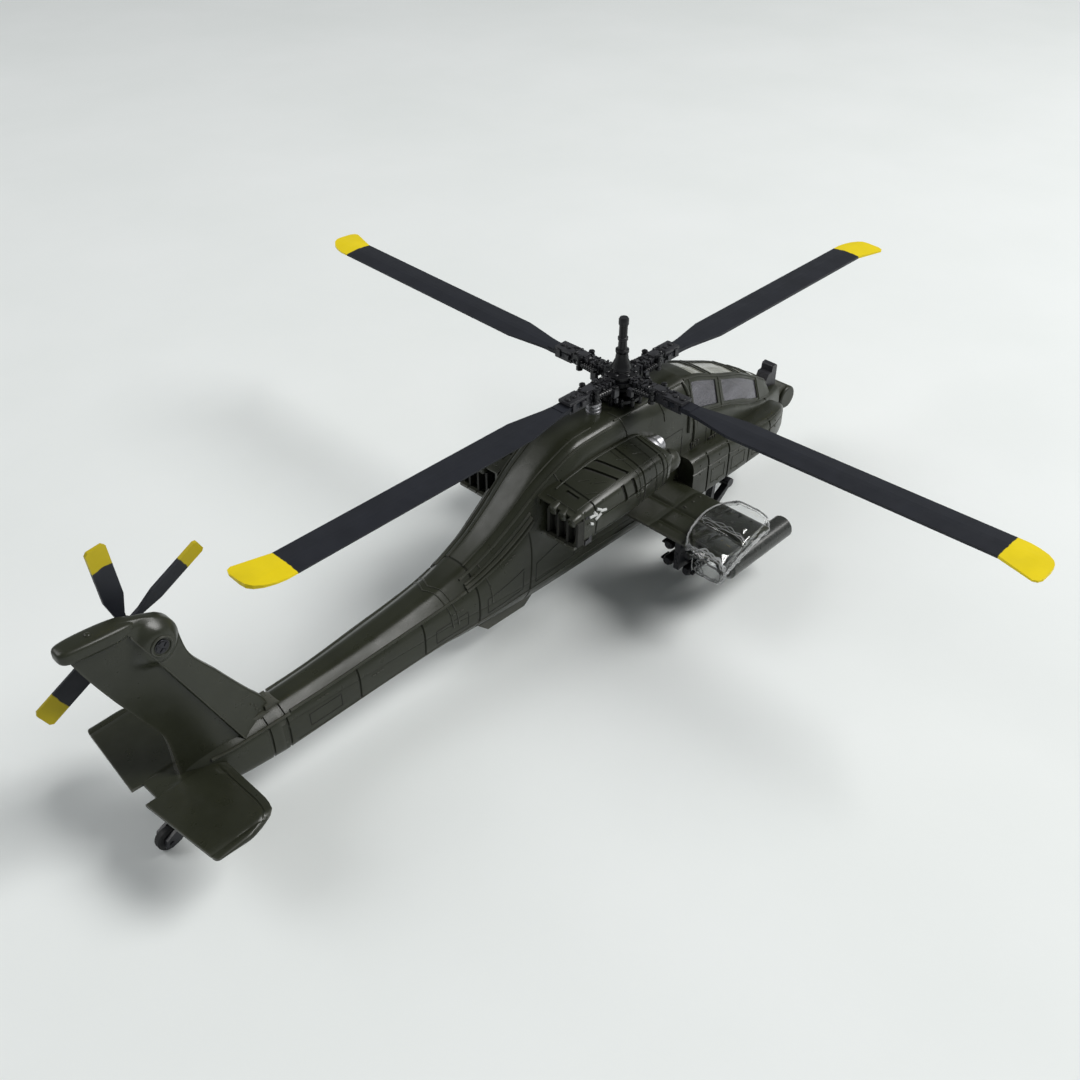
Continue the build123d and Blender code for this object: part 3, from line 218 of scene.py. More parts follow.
def painted_tip(name, base, yellow, centre, inner_mm, axes, rough):
    """Plastic that turns to yellow paint beyond inner_mm from the rotor's axis."""
    material, tree, shader = new_material(name)
    split = node(tree, "ShaderNodeSeparateXYZ")
    tree.links.new(object_coords(tree), split.inputs[0])
    squares = []
    for axis in axes:
        away = calc(tree, "SUBTRACT", split.outputs[axis], centre["XYZ".index(axis)])
        squares.append(calc(tree, "MULTIPLY", away, away))
    radius = calc(tree, "SQRT", calc(tree, "ADD", *squares))
    wobble = mapped(tree, noise(tree, 500.0, 2.0), 0.2, 0.8, -0.25 * MM, 0.25 * MM)
    edge = (inner_mm - 0.12) * MM, (inner_mm + 0.12) * MM
    painted = mapped(tree, calc(tree, "ADD", radius, wobble), *edge, 0.0, 1.0)
    tone = cloud(tree, 120.0, 5.0)
    plain = mix_colour(tree, tone, scaled(base, 0.86), scaled(base, 1.15))
    bright = mix_colour(tree, tone, scaled(yellow, 0.90), yellow)
    tree.links.new(mix_colour(tree, painted, plain, bright), shader.inputs["Base Color"])
    smudged(tree, shader, 260.0, rough - 0.06, rough + 0.10)
    bump(tree, shader, noise(tree, 2200.0, 2.0), 0.015 * MM)
    shader.inputs["Specular IOR Level"].default_value = 0.28
    return material


def clear_plastic(name, tint, rough):
    """See-through plastic with faint smudges."""
    material, tree, shader = new_material(name)
    tone = mix_colour(tree, cloud(tree, 60.0, 3.0), tint, scaled(tint, 1.06))
    tree.links.new(tone, shader.inputs["Base Color"])
    shader.inputs["Transmission Weight"].default_value = 1.0
    shader.inputs["IOR"].default_value = 1.49
    smudged(tree, shader, 300.0, max(0.0, rough - 0.02), rough + 0.03, 0.3)
    return material


def tinted_glazing(name, tint, haze_low, haze_high, cover, stretch=240.0):
    """Smoky clear plastic: mostly see-through, with a haze that thickens in soft streaks."""
    material = clear_plastic(name, tint, 0.05)
    tree = material.node_tree
    glass = tree.nodes["Principled BSDF"]
    haze = node(tree, "ShaderNodeBsdfPrincipled", Roughness=0.16)
    streak = node(tree, "ShaderNodeMapping", Scale=(30.0, 30.0, stretch))
    tree.links.new(object_coords(tree), streak.inputs["Vector"])
    streaks = mapped(tree, noise(tree, 1.0, 4.0, 0.6, streak.outputs["Vector"]), 0.3, 0.7, 0.0, 1.0)
    tree.links.new(mix_colour(tree, streaks, haze_low, haze_high), haze.inputs["Base Color"])
    blend = node(tree, "ShaderNodeMixShader")
    tree.links.new(mapped(tree, streaks, 0.0, 1.0, *cover), blend.inputs["Fac"])
    tree.links.new(glass.outputs["BSDF"], blend.inputs[1])
    tree.links.new(haze.outputs["BSDF"], blend.inputs[2])
    tree.links.new(blend.outputs[0], tree.nodes["Material Output"].inputs["Surface"])
    return material


MATERIALS = {
    # Each edge_highlight colour below is a painted highlight on sharp edges.
    "olive_paint": moulded("olive_paint", OLIVE, 0.31, 0.35, 0.010, 0.06, 0.36, edge_highlight=OLIVE_EDGE_HIGHLIGHT),
    "olive_plastic": moulded("olive_plastic", OLIVE, 0.38, 0.30, 0.012, 0.05, 0.34, edge_highlight=OLIVE_EDGE_HIGHLIGHT),
    "black_plastic": moulded("black_plastic", BLACK, 0.30, 0.25, 0.02, 0.05, 0.32, edge_highlight=(0.03, 0.03, 0.034)),
    "blade_plastic": painted_tip("blade_plastic", CHARCOAL, YELLOW, HUB, TIP_PAINT_R, "XY", 0.46),
    "tyre_rubber": moulded("tyre_rubber", (0.012, 0.012, 0.012), 0.62, 0.2, 0.03),
    "clear_plastic": tinted_glazing("clear_plastic", (0.70, 0.68, 0.74), (0.045, 0.043, 0.056),
                                    (0.16, 0.155, 0.18), (0.40, 0.72)),
    "clear_film": clear_plastic("clear_film", (0.97, 0.98, 0.98), 0.03),
    "beige_plastic": moulded("beige_plastic", (0.50, 0.46, 0.32), 0.45),
    "silver_plastic": moulded("silver_plastic", (0.44, 0.44, 0.46), 0.40),
    "screw_steel": moulded("screw_steel", (0.05, 0.05, 0.055), 0.35, specular=0.7),
}
for metal in ("silver_plastic", "screw_steel"):
    MATERIALS[metal].node_tree.nodes["Principled BSDF"].inputs["Metallic"].default_value = 1.0
TAIL_AXIS = box_centre("tail_rotor_hub")
# Tail blade tips use the darkened yellow: painted shade.
TAIL_BLADES = painted_tip("tail_blade_plastic", CHARCOAL, TAIL_YELLOW_PAINTED_SHADE, TAIL_AXIS, TAIL_PAINT_R, "XZ", 0.46)
# Dark colour of the door seams, also laid in vents, exhaust openings, slot floors and the fin screw's well as
# painted shade.
SEAM_AND_SHADE = moulded("panel_seam_and_painted_shade", (0.012, 0.012, 0.009), 0.7)
# Paler, creamier copy of the glazing for the level panes of the canopy roof: painted light.
ROOF_GLAZING_PAINTED_LIGHT = tinted_glazing("roof_glazing_painted_light", (0.86, 0.86, 0.80), (0.24, 0.24, 0.19), (0.46, 0.46, 0.40),
                              (0.45, 0.75))
FILM_HEM = tinted_glazing("film_hem", (0.98, 0.98, 0.98), (0.45, 0.46, 0.46), (0.85, 0.86, 0.86),
                          (0.25, 0.60), 90.0)
POD_PAINT = moulded("pod_paint", (0.030, 0.032, 0.029), 0.26, 0.3, 0.01, 0.1, 0.45)
PALE_MARK = moulded("pale_mark", (0.55, 0.56, 0.55), 0.6)
DIAL = moulded("dial_black", (0.02, 0.02, 0.02), 0.4)

SLOT_OF = {part["node"]: part["material_slot"] for part in frame["record"]["subparts"]}


# ---------------------------------------------------------------- mesh helpers
def make_piece(name, verts, faces, slot, body="root", stands_for=(), material=None, bevel=0.0, subdiv=0,
               solid=0.0, sharp=38.0):
    """Mesh piece from points in millimetres, shaded smooth except at sharp edges, riding on a body."""
    data = bpy.data.meshes.new(name)
    data.from_pydata([tuple(c * MM for c in v) for v in verts], [], faces)
    tidy = bmesh.new()
    tidy.from_mesh(data)
    bmesh.ops.remove_doubles(tidy, verts=tidy.verts, dist=0.004 * MM)
    bmesh.ops.recalc_face_normals(tidy, faces=tidy.faces)
    tidy.to_mesh(data)
    tidy.free()
    data.validate()
    piece = bpy.data.objects.new(name, data)
    bpy.context.scene.collection.objects.link(piece)
    shade(data, sharp)
    if solid:
        shell = piece.modifiers.new("wall", "SOLIDIFY")
        shell.thickness = solid * MM
        shell.offset = -1.0
    soften(piece, bevel, subdiv)
    data.materials.append(material or MATERIALS[slot])
    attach(piece, body)
    if stands_for:
        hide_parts(*stands_for)
    return piece


def shade(data, sharp):
    """Smooth shading, with an edge kept sharp where faces meet at more than the given angle."""
    data.polygons.foreach_set("use_smooth", [True] * len(data.polygons))
    data.set_sharp_from_angle(angle=math.radians(sharp))


def soften(piece, bevel, subdiv=0):
    """Rounded edges of the given radius in millimetres, and optional subdivision."""
    if bevel:
        edge = piece.modifiers.new("soft_edges", "BEVEL")
        edge.width = bevel * MM
        edge.segments = 3
        edge.limit_method = "ANGLE"
        edge.angle_limit = math.radians(30)
        edge.harden_normals = True
    if subdiv:
        smooth = piece.modifiers.new("smooth", "SUBSURF")
        smooth.levels = smooth.render_levels = subdiv


def circle(centre, side, other, radius, count):
    """Points of a circle in the plane of two unit vectors."""
    return [centre + (side * math.cos(t) + other * math.sin(t)) * radius
            for t in (2 * math.pi * i / count for i in range(count))]


def grid(rows, columns):
    """Row, column and corners of every quad in a grid of points, which are numbered row by row."""
    for i in range(rows - 1):
        for j in range(columns - 1):
            a = i * columns + j
            yield i, j, (a, a + 1, a + columns + 1, a + columns)


def door(x0, x1, u0, u1, steps):
    """Closed outline of a door on the skin, as pairs of x and u, with each side cut into equal steps."""
    corners = [(x0, u0), (x1, u0), (x1, u1), (x0, u1), (x0, u0)]
    path = []
    for (xa, ua), (xb, ub) in zip(corners, corners[1:]):
        path += [(xa + (xb - xa) * t / steps, ua + (ub - ua) * t / steps) for t in range(steps)]
    return path + [corners[0]]


class Solids:
    """Collects simple closed shapes into one mesh, in millimetres."""

    def __init__(self):
        self.verts, self.faces = [], []

    def add(self, verts, faces):
        start = len(self.verts)
        self.verts += [tuple(v) for v in verts]
        self.faces += [tuple(i + start for i in face) for face in faces]

    def rings(self, rings):
        """Tube through rings of equal length, closed at both ends."""
        count = len(rings[0])
        verts = [v for ring in rings for v in ring]
        faces = []
        for a in range(len(rings) - 1):
            for i in range(count):
                j = (i + 1) % count
                faces.append((a * count + i, a * count + j, (a + 1) * count + j, (a + 1) * count + i))
        faces.append(tuple(range(count))[::-1])
        faces.append(tuple((len(rings) - 1) * count + i for i in range(count)))
        self.add(verts, faces)

    def lathe(self, base, axis, profile, count=24):
        """Turned shape: profile of (distance along axis, radius) from base."""
        axis = Vector(axis).normalized()
        side = axis.orthogonal().normalized()
        other = axis.cross(side)
        base = Vector(base)
        self.rings([circle(base + axis * along, side, other, radius, count) for along, radius in profile])

    def rod(self, a, b, radius, count=16, edge=0.15):
        """Round rod between two points with a small chamfer at each end."""
        length = (Vector(b) - Vector(a)).length
        edge = min(edge, radius * 0.5, length * 0.3)
        profile = [(0, radius - edge), (edge, radius), (length - edge, radius), (length, radius - edge)]
        self.lathe(a, Vector(b) - Vector(a), profile, count)

    def box(self, centre, size, turn=None):
        """Box of the given full size, turned by an optional matrix about its centre."""
        half = Vector(size) / 2
        verts = []
        for sx in (-1, 1):
            for sy in (-1, 1):
                for sz in (-1, 1):
                    corner = Vector((sx * half.x, sy * half.y, sz * half.z))
                    verts.append(Vector(centre) + (turn @ corner if turn else corner))
        self.add(verts, [(0, 1, 3, 2), (4, 6, 7, 5), (0, 4, 5, 1), (2, 3, 7, 6), (0, 2, 6, 4), (1, 5, 7, 3)])

    def line(self, path, radius, count=6):
        """Thin round bead along a path of points."""
        rings = []
        for k, point in enumerate(path):
            ahead = Vector(path[min(k + 1, len(path) - 1)]) - Vector(path[max(k - 1, 0)])
            side = ahead.orthogonal().normalized() if ahead.length else Vector((1, 0, 0))
            side = Vector((0, 0, 1)).cross(ahead).normalized() if abs(ahead.normalized().z) < 0.95 else side
            other = ahead.normalized().cross(side)
            rings.append(circle(Vector(point), side, other, radius, count))
        self.rings(rings)

    def piece(self, name, slot, body="root", stands_for=(), **finish):
        return make_piece(name, self.verts, self.faces, slot, body, stands_for, **finish)


def steady(xs, ys, x):
    """Smooth curve through (xs, ys) that never overshoots its points."""
    if x <= xs[0]:
        return ys[0]
    if x >= xs[-1]:
        return ys[-1]
    k = next(i for i in range(len(xs) - 1) if xs[i] <= x <= xs[i + 1])
    slopes = [(ys[i + 1] - ys[i]) / (xs[i + 1] - xs[i]) for i in range(len(xs) - 1)]

    def tangent(i):
        if i == 0 or i == len(xs) - 1:
            return slopes[0] if i == 0 else slopes[-1]
        before, after = slopes[i - 1], slopes[i]
        return 0.0 if before * after <= 0 else 2 * before * after / (before + after)

    width = xs[k + 1] - xs[k]
    t = (x - xs[k]) / width
    a, b = tangent(k), tangent(k + 1)
    return ((2 * t ** 3 - 3 * t ** 2 + 1) * ys[k] + (t ** 3 - 2 * t ** 2 + t) * width * a
            + (3 * t ** 2 - 2 * t ** 3) * ys[k + 1] + (t ** 3 - t ** 2) * width * b)


def at_station(table, x):
    """Every number of a station table at x."""
    xs = [row[0] for row in table]
    return [steady(xs, [row[i] for row in table], x) for i in range(1, len(table[0]))]


def rounded(corners, soft, u):
    """Point at u along a polyline whose inner corners are rounded; u counts corners."""
    u = min(max(u, 0.0), len(corners) - 1.0)
    near = round(u)
    if 0 < near < len(corners) - 1 and abs(u - near) < soft[near]:
        reach = soft[near]
        t = (u - near + reach) / (2 * reach)
        a = corners[near - 1].lerp(corners[near], 1 - reach)
        b = corners[near].lerp(corners[near + 1], reach)
        return a * (1 - t) ** 2 + corners[near] * 2 * t * (1 - t) + b * t ** 2
    k = min(int(u), len(corners) - 2)
    return corners[k].lerp(corners[k + 1], u - k)


def section_point(corners, soft, x, u, side, lift):
    """Point at u along the outline of the cross-section at x, pushed outwards by lift."""
    corners = [Vector(c) for c in corners]
    place = rounded(corners, soft, u)
    if lift:
        ahead = rounded(corners, soft, u + 0.02) - rounded(corners, soft, u - 0.02)
        place = place + Vector((-ahead.y, ahead.x)).normalized() * lift
    return Vector((x, side * place.x, place.y))


def mirrored(points):
    """The same points on the other side of the centre line, in reverse order."""
    return [Vector((v.x, -v.y, v.z)) for v in reversed(points)]


def both_faces(fs):
    """Chord fractions over the upper face and back along the lower one, each with its sign."""
    return [(1, f) for f in fs] + [(-1, f) for f in reversed(fs)]


def spread(low, high, step, marks=(), width=0.0):
    """Even values from low to high, with four more around each mark for a crisp groove."""
    count = max(2, int(round((high - low) / step)) + 1)
    values = [low + (high - low) * i / (count - 1) for i in range(count)]
    for mark in marks:
        values = [v for v in values if abs(v - mark) > width * 1.2]
        values += [mark - width, mark - width * 0.45, mark + width * 0.45, mark + width]
    return sorted(v for v in values if low - 1e-6 <= v <= high + 1e-6)


def notch(value, marks, width):
    """1 in the floor of a groove at a mark and 0 outside it."""
    return max([0.0] + [1.0 if abs(value - m) <= width * 0.5 else 0.0 for m in marks])


# ---------------------------------------------------------------- hull shells
FIREWALL_X, SPLIT_Z = 46.0, 22.0
COCKPIT_X, COCKPIT_HALF = (50.0, 94.0), 7.8
# Hull stations: x, top z, half width of the top, shoulder z, shoulder half width, lower z, lower half width,
# belly z, half width of the belly, and the crown of the top.
REAR_STATIONS = [
    (-108.0, 25.9, 2.9, 23.2, 6.3, 14.6, 6.8, 12.6, 5.4, 0.5),
    (-95.0, 26.4, 3.1, 23.4, 6.5, 14.8, 6.9, 13.1, 5.4, 0.5),
    (-75.0, 28.0, 3.5, 25.0, 7.3, 15.6, 7.3, 13.7, 5.4, 0.6),
    (-55.0, 30.6, 3.9, 26.2, 8.3, 17.0, 8.3, 13.5, 5.6, 0.7),
    (-47.0, 32.5, 4.3, 27.0, 9.1, 17.6, 9.1, 13.1, 6.2, 0.7),
    (-36.0, 37.0, 4.9, 30.0, 10.3, 18.2, 10.1, 12.6, 6.6, 0.8),
    (-27.0, 42.6, 5.6, 35.0, 11.3, 19.0, 10.7, 12.2, 7.0, 0.9),
    (-14.0, 51.8, 6.9, 44.4, 11.7, 19.0, 11.2, 12.0, 7.4, 1.0),
    (0.0, 57.4, 8.1, 51.4, 10.5, 19.0, 11.4, 12.0, 7.6, 1.0),
    (24.0, 57.9, 8.0, 51.9, 10.5, 19.0, 11.5, 12.0, 7.7, 0.9),
    (34.0, 58.1, 7.9, 52.2, 11.8, 19.0, 11.6, 12.0, 7.8, 0.8),
    (FIREWALL_X, 58.4, 7.8, 52.4, 11.8, 19.0, 11.6, 12.0, 7.8, 0.8),
]
FRONT_STATIONS = [
    (FIREWALL_X, 46.7, 10.4, 44.4, 11.7, 19.0, 11.6, 12.0, 7.8, 0.1),
    (66.0, 42.0, 10.1, 39.4, 11.4, 19.0, 11.4, 12.2, 7.6, 0.1),
    (88.0, 33.6, 8.9, 30.4, 9.6, 19.5, 9.6, 13.6, 6.2, 0.1),
    (100.0, 30.8, 6.1, 28.0, 7.0, 19.0, 7.0, 14.4, 4.7, 0.3),
    (107.0, 29.6, 4.3, 26.4, 5.2, 18.5, 5.2, 15.0, 3.6, 0.3),
]
ROOT_STATIONS = [
    (-133.6, 23.0, 0.8, 22.0, 1.5, 18.2, 1.5, 17.0, 1.1, 0.1),
    (-129.0, 24.2, 1.7, 22.4, 3.9, 16.4, 4.2, 14.6, 2.9, 0.2),
    (-121.0, 25.4, 2.7, 22.9, 5.9, 15.0, 6.3, 13.1, 4.6, 0.3),
    (-108.0, 25.9, 2.9, 23.2, 6.3, 14.6, 6.8, 12.6, 5.4, 0.5),
]
HULL_SOFT = [0, 0.45, 0.45, 0.45, 0.36, 0.42, 0]
HULL_U_END = 6.0
BISECTIONS = 22
SPLIT_GAP = 0.06
BODY_SCREW_XS = (2.0, -62.0, 99.0)


def hull_point(table, x, u, side=1, lift=0.0):
    """Point on the hull skin; u runs from the top centre line to the belly centre line."""
    top, top_w, sh, sh_w, low, low_w, belly, belly_w, crown = at_station(table, x)
    corners = ((0, top + crown), (0.55 * top_w, top + crown), (top_w, top), (sh_w, sh), (low_w, low),
               (belly_w, belly), (0, belly))
    return section_point(corners, HULL_SOFT, x, u, side, lift)


def skin_table(x):
    """Stations of the rear or the front part of the hull."""
    return REAR_STATIONS if x < FIREWALL_X else FRONT_STATIONS


def find_u(table, x, test, low, high):
    """Value of u between low and high where test(y, z) turns from false to true."""
    for _ in range(BISECTIONS):
        mid = (low + high) / 2
        spot = hull_point(table, x, mid)
        if test(spot.y, spot.z):
            high = mid
        else:
            low = mid
    return (low + high) / 2


def half_shell(table, rows, upper, columns, depth):
    """Rings of one hull shell's port half: outer skin, then the flat split face back to the middle."""
    rings, inner = [], []
    for x, y_in in rows:
        split = find_u(table, x, lambda y, z: z < SPLIT_Z, 1.0, 5.5)
        start = find_u(table, x, lambda y, z: y > y_in, 0.0, 3.0) if upper and y_in else 0.0
        u0, u1 = (start, split) if upper else (split, HULL_U_END)
        us = [u0 + (u1 - u0) * f for f in columns]
        ring = [hull_point(table, x, u, 1, -depth(x, u)) for u in us]
        split_z = SPLIT_Z + (SPLIT_GAP if upper else -SPLIT_GAP)
        end = -1 if upper else 0
        ring[end] = Vector((x, ring[end].y, split_z))
        ring.append(Vector((x, y_in if upper else 0.0, split_z)))
        rings.append(ring)
        inner.append(y_in if upper else 0.0)
    return rings, inner


def shell_solid(solids, rings, inner):
    """Adds both halves of a shell to a mesh, joined on the centre line."""
    count = len(rings[0])
    for side in (1, -1):
        verts = [Vector((v.x, side * v.y, v.z)) for ring in rings for v in ring]
        faces = []
        for a in range(len(rings) - 1):
            for i in range(count):
                j = (i + 1) % count
                if i == count - 1 and inner[a] == 0 and inner[a + 1] == 0:
                    continue
                faces.append((a * count + i, a * count + j, (a + 1) * count + j, (a + 1) * count + i))
        faces.append(tuple(range(count)))
        faces.append(tuple((len(rings) - 1) * count + i for i in range(count)))
        solids.add(verts, faces)


def groove_depth(full, side_only, width, deep):
    """Depth of the panel grooves: some go all round, others only down the side."""
    def depth(x, u):
        cut = notch(x, full, width)
        if 2.7 < u < 5.2:
            cut = max(cut, notch(x, side_only, width))
        return cut * deep
    return depth


def hull_side(table, side):
    """Function of x, u and lift that gives points on one side of the hull."""
    return lambda x, u, lift: hull_point(table, x, u, side, lift)


GROOVE_W, GROOVE_DEEP = 0.42, 0.42
VENT_SPOTS = ((49.0, 3.28), (58.5, 3.32), (67.5, 3.36))
REAR_FULL, REAR_SIDE = (-106.4, -43.0), (-84.0, -62.0, -24.0)
FRONT_SIDE = (58.0, 98.0)
COLUMNS = [i / 64 for i in range(65)]


def make_hull():
    """Upper and lower hull shells, split along a level line, with screw bosses on the belly."""
    upper, lower = Solids(), Solids()
    rear_rows = [(x, 0.0) for x in spread(-108.0, FIREWALL_X, 2.6, REAR_FULL + REAR_SIDE, GROOVE_W)]
    rear_depth = groove_depth(REAR_FULL, REAR_SIDE, GROOVE_W, GROOVE_DEEP)
    front_rows = [(x, COCKPIT_HALF if COCKPIT_X[0] < x < COCKPIT_X[1] else 0.0)
                  for x in spread(FIREWALL_X, 107.0, 2.6, FRONT_SIDE + COCKPIT_X, GROOVE_W)]
    front_depth = groove_depth((), FRONT_SIDE, GROOVE_W, GROOVE_DEEP)
    for is_upper, solids in ((True, upper), (False, lower)):
        shell_solid(solids, *half_shell(REAR_STATIONS, rear_rows, is_upper, COLUMNS, rear_depth))
        shell_solid(solids, *half_shell(FRONT_STATIONS, front_rows, is_upper, COLUMNS, front_depth))
    upper.piece("hull_upper", "olive_paint", stands_for=("fuselage_upper",))
    for x in BODY_SCREW_XS:
        belly = hull_point(skin_table(x), x, HULL_U_END).z
        lower.lathe((x, 0, belly + 0.6), (0, 0, -1),
                    [(0, 2.2), (0, 2.8), (0.75, 2.8), (0.85, 2.7), (0.85, 2.2)], 32)
    lower.box((26.0, 0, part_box("fuselage_lower")[0].z / MM + 0.8), (36.0, 12.0, 1.6))
    lower.piece("hull_lower", "olive_plastic", stands_for=("fuselage_lower",), bevel=0.08)


def make_hull_beads():
    """Raised beads, clips and vent slats that stand on the hull skin."""
    beads = Solids()
    for side in (1, -1):
        rear, front = hull_side(REAR_STATIONS, side), hull_side(FRONT_STATIONS, side)
        for u, x0, x1, radius in ((2.62, -104.5, -46.0, 0.46), (2.02, -46.0, 12.0, 0.40),
                                  (1.25, -43.0, 6.0, 0.2), (4.1, -104.0, 42.0, 0.16)):
            beads.line([rear(x, u, 0.06) for x in spread(x0, x1, 3.0)], radius, 8)
        for u, radius, lift in ((2.36, 0.42, 0.1), (2.50, 0.75, -0.1), (2.64, 0.42, 0.1)):
            beads.line([rear(x, u, lift) for x in spread(-45.5, -21.5, 2.0)], radius, 10)
        for x, start in ((-54.5, 0.0), (-52.6, 0.0), (-40.6, 2.1), (-12.5, 2.1)):
            beads.line([rear(x + 0.9 * (u - 1.0), u, 0.05) for u in spread(start, 3.6, 0.12)], 0.20, 8)
        for x0, u0 in ((-33.0, 2.8), (-52.0, 3.1), (-80.0, 3.4), (-97.0, 2.9)):
            for k in range(3):
                beads.line([rear(x0 + 1.3 * k + t, u0 + 0.03 * t, 0.05) for t in (0.0, 0.5, 1.0)], 0.16)
        for x, u in VENT_SPOTS:
            for k in (-1.2, 0, 1.2):
                beads.box(front(x, u, 0.1) + Vector((k, side * 0.3, 0)), (0.35, 0.4, 1.9))
        beads.line([rear(45.2, u, 0.15) for u in spread(1.9, 3.3, 0.1)], 0.55, 10)
        beads.line([front(48.4, u, 0.15) for u in spread(2.4, 3.3, 0.1)], 0.38, 10)
        for x in (14.0, 30.0):
            beads.line([rear(x + 1.2 * u, u, 0.08) for u in spread(0.9, 2.9, 0.1)], 0.2, 8)
        beads.line([rear(x, 1.75 + (x - 14.0) * 0.006, 0.12) for x in spread(14.0, 44.0, 2.0)], 0.32, 8)
    beads.piece("hull_beads", "olive_paint")


def make_hull_seams_and_vents():
    """Door outlines and vents on the hull skin; the dark boxes in the vents are painted shade."""
    seams, vents = Solids(), Solids()
    for side in (1, -1):
        rear, front = hull_side(REAR_STATIONS, side), hull_side(FRONT_STATIONS, side)
        for ends in ((-58.0, -47.0, 3.35, 3.85), (-40.0, -27.0, 3.4, 3.9), (-22.0, -6.0, 3.55, 3.95),
                     (-100.0, -90.0, 3.3, 3.75), (30.0, 42.0, 3.2, 3.9)):
            seams.line([rear(x, u, 0.0) for x, u in door(*ends, 6)], 0.13)
        for x in (47.6, 55.0, 69.0):
            seams.line([front(x, 3.05 + 0.1 * t, 0.02) for t in range(6)], 0.12)
        # Dark boxes in the vents: painted shade.
        for x, u in VENT_SPOTS:
            vents.box(front(x, u, 0.1), (4.2, 0.5, 1.7))
        vents.box(rear(41.8, 2.72, 0.05), (1.2, 0.5, 4.6))
    seams.piece("hull_door_seams", "olive_paint", material=SEAM_AND_SHADE)
    vents.piece("hull_vents", "olive_paint", material=SEAM_AND_SHADE, bevel=0.08)


# ---------------------------------------------------------------- fin, tail cone and stabilizer
# Pairs of height and x for the two edges of the fin, and of height and half width.
FIN_NOSE = ((20, -107.6), (27, -108.0), (30, -109.2), (33.5, -111.6), (45, -118.8), (56, -125.2),
            (60, -125.9), (64, -126.4), (67, -127.6), (69.4, -130.4), (71.4, -135.0), (72.6, -139.0))
FIN_TAIL = ((20, -134.4), (28, -134.6), (34, -135.2), (43.5, -139.4), (53, -144.2), (67, -150.2),
            (72.6, -152.0))
FIN_HALF = ((20, 6.0), (22, 5.5), (25, 4.4), (29, 3.5), (34, 3.05), (56, 2.9), (68, 2.6), (71.4, 2.3),
            (72.6, 1.5))
# Fin cap stations: x, half width, low z and high z.
FIN_CAP_STATIONS = ((-135.62, 1.2, 70.4, 71.0), (-136.26, 2.0, 69.6, 71.7), (-138.26, 2.6, 68.8, 72.3),
                    (-141.06, 2.9, 68.6, 72.7), (-145.06, 3.0, 68.9, 73.0), (-149.06, 2.9, 69.2, 73.2),
                    (-151.62, 2.6, 69.4, 73.2), (-152.74, 2.1, 69.8, 73.0), (-153.3, 1.3, 70.5, 72.4))
RIDGE_F, STEP_F = 0.35, 0.02
ROOT_CUTS = (-111.5,)
FIN_SCREW = box_centre("fin_screw") / MM
BULGE_R, BULGE_Y = 7.6, 1.3


def curve_at(points, t):
    """Value at t of the smooth curve through pairs of numbers."""
    return steady([p[0] for p in points], [p[1] for p in points], t)


def fin_thickness(f):
    """Thickness of the fin along its chord, 1 at the ridge, with a step down behind it."""
    if f < RIDGE_F:
        return 0.30 + 0.70 * (f / RIDGE_F) ** 0.75 if f > 0.012 else 0.02 + 0.34 * math.sqrt(f / 0.012)
    if f < RIDGE_F + STEP_F:
        return 1.0 - 0.20 * (f - RIDGE_F) / STEP_F
    return 0.80 - 0.56 * ((f - RIDGE_F - STEP_F) / (0.98 - RIDGE_F)) ** 1.2


def fin_point(z, f, side):
    """Point on the fin at height z; f runs from the nose over the straight ridge to the tail."""
    nose, tail, half = curve_at(FIN_NOSE, z), curve_at(FIN_TAIL, z), curve_at(FIN_HALF, z)
    ridge = min(0.62, max(0.30, (nose + 117.0 + 0.448 * (z - 22.5)) / (nose - tail)))
    part = ridge * f / RIDGE_F if f < RIDGE_F else ridge + (1.0 - ridge) * (f - RIDGE_F) / (1.0 - RIDGE_F)
    x = nose + (tail - nose) * part
    y = half * fin_thickness(f)
    away = math.hypot(x - (FIN_SCREW.x - 0.5), z - FIN_SCREW.z)
    if away < BULGE_R:
        rise = 0.5 + 0.5 * math.cos(math.pi * max(0.0, away - 3.2) / (BULGE_R - 3.2))
        y = max(y, 0.35 * y + rise * (half + BULGE_Y - 0.35 * y))
    return Vector((x, side * y, z))


def make_fin():
    """Tail fin on its rounded tail cone, with two steps at its foot."""
    fin = Solids()
    fs = [0.0, 0.002, 0.006, 0.012, 0.035, 0.06, 0.09, 0.13, 0.17, 0.21, 0.25, 0.28, 0.31, 0.335, RIDGE_F,
          RIDGE_F + STEP_F, 0.40, 0.44, 0.48, 0.55, 0.62, 0.69, 0.76, 0.83, 0.90, 0.96, 1.0]
    fin.rings([[fin_point(z, f, side) for side, f in both_faces(fs)] for z in spread(20.0, 72.6, 0.95)])
    root_rings = []
    for x in spread(-133.6, -108.0, 1.4, ROOT_CUTS, GROOVE_W):
        cut = notch(x, ROOT_CUTS, GROOVE_W) * GROOVE_DEEP
        half = [hull_point(ROOT_STATIONS, x, HULL_U_END * i / 40, 1, -cut) for i in range(41)]
        root_rings.append(half + mirrored(half[1:-1]))
    fin.rings(root_rings)
    for x0, x1, half, low, high in ((-109.6, -104.6, 2.7, 22.0, 27.4), (-116.0, -107.6, 3.5, 22.0, 26.8)):
        outline = [(x0, low), (x0, high), (x0 + 0.6 * (x1 - x0), high - 0.2), (x1, high - 1.6), (x1, low)]
        fin.rings([[Vector((x, y * (1 if z < high - 2 else 0.84), z)) for x, z in outline]
                   for y in (-half, half)])
    fin.piece("fin_and_tail_cone", "olive_paint", stands_for=("tail_fin",), sharp=50)


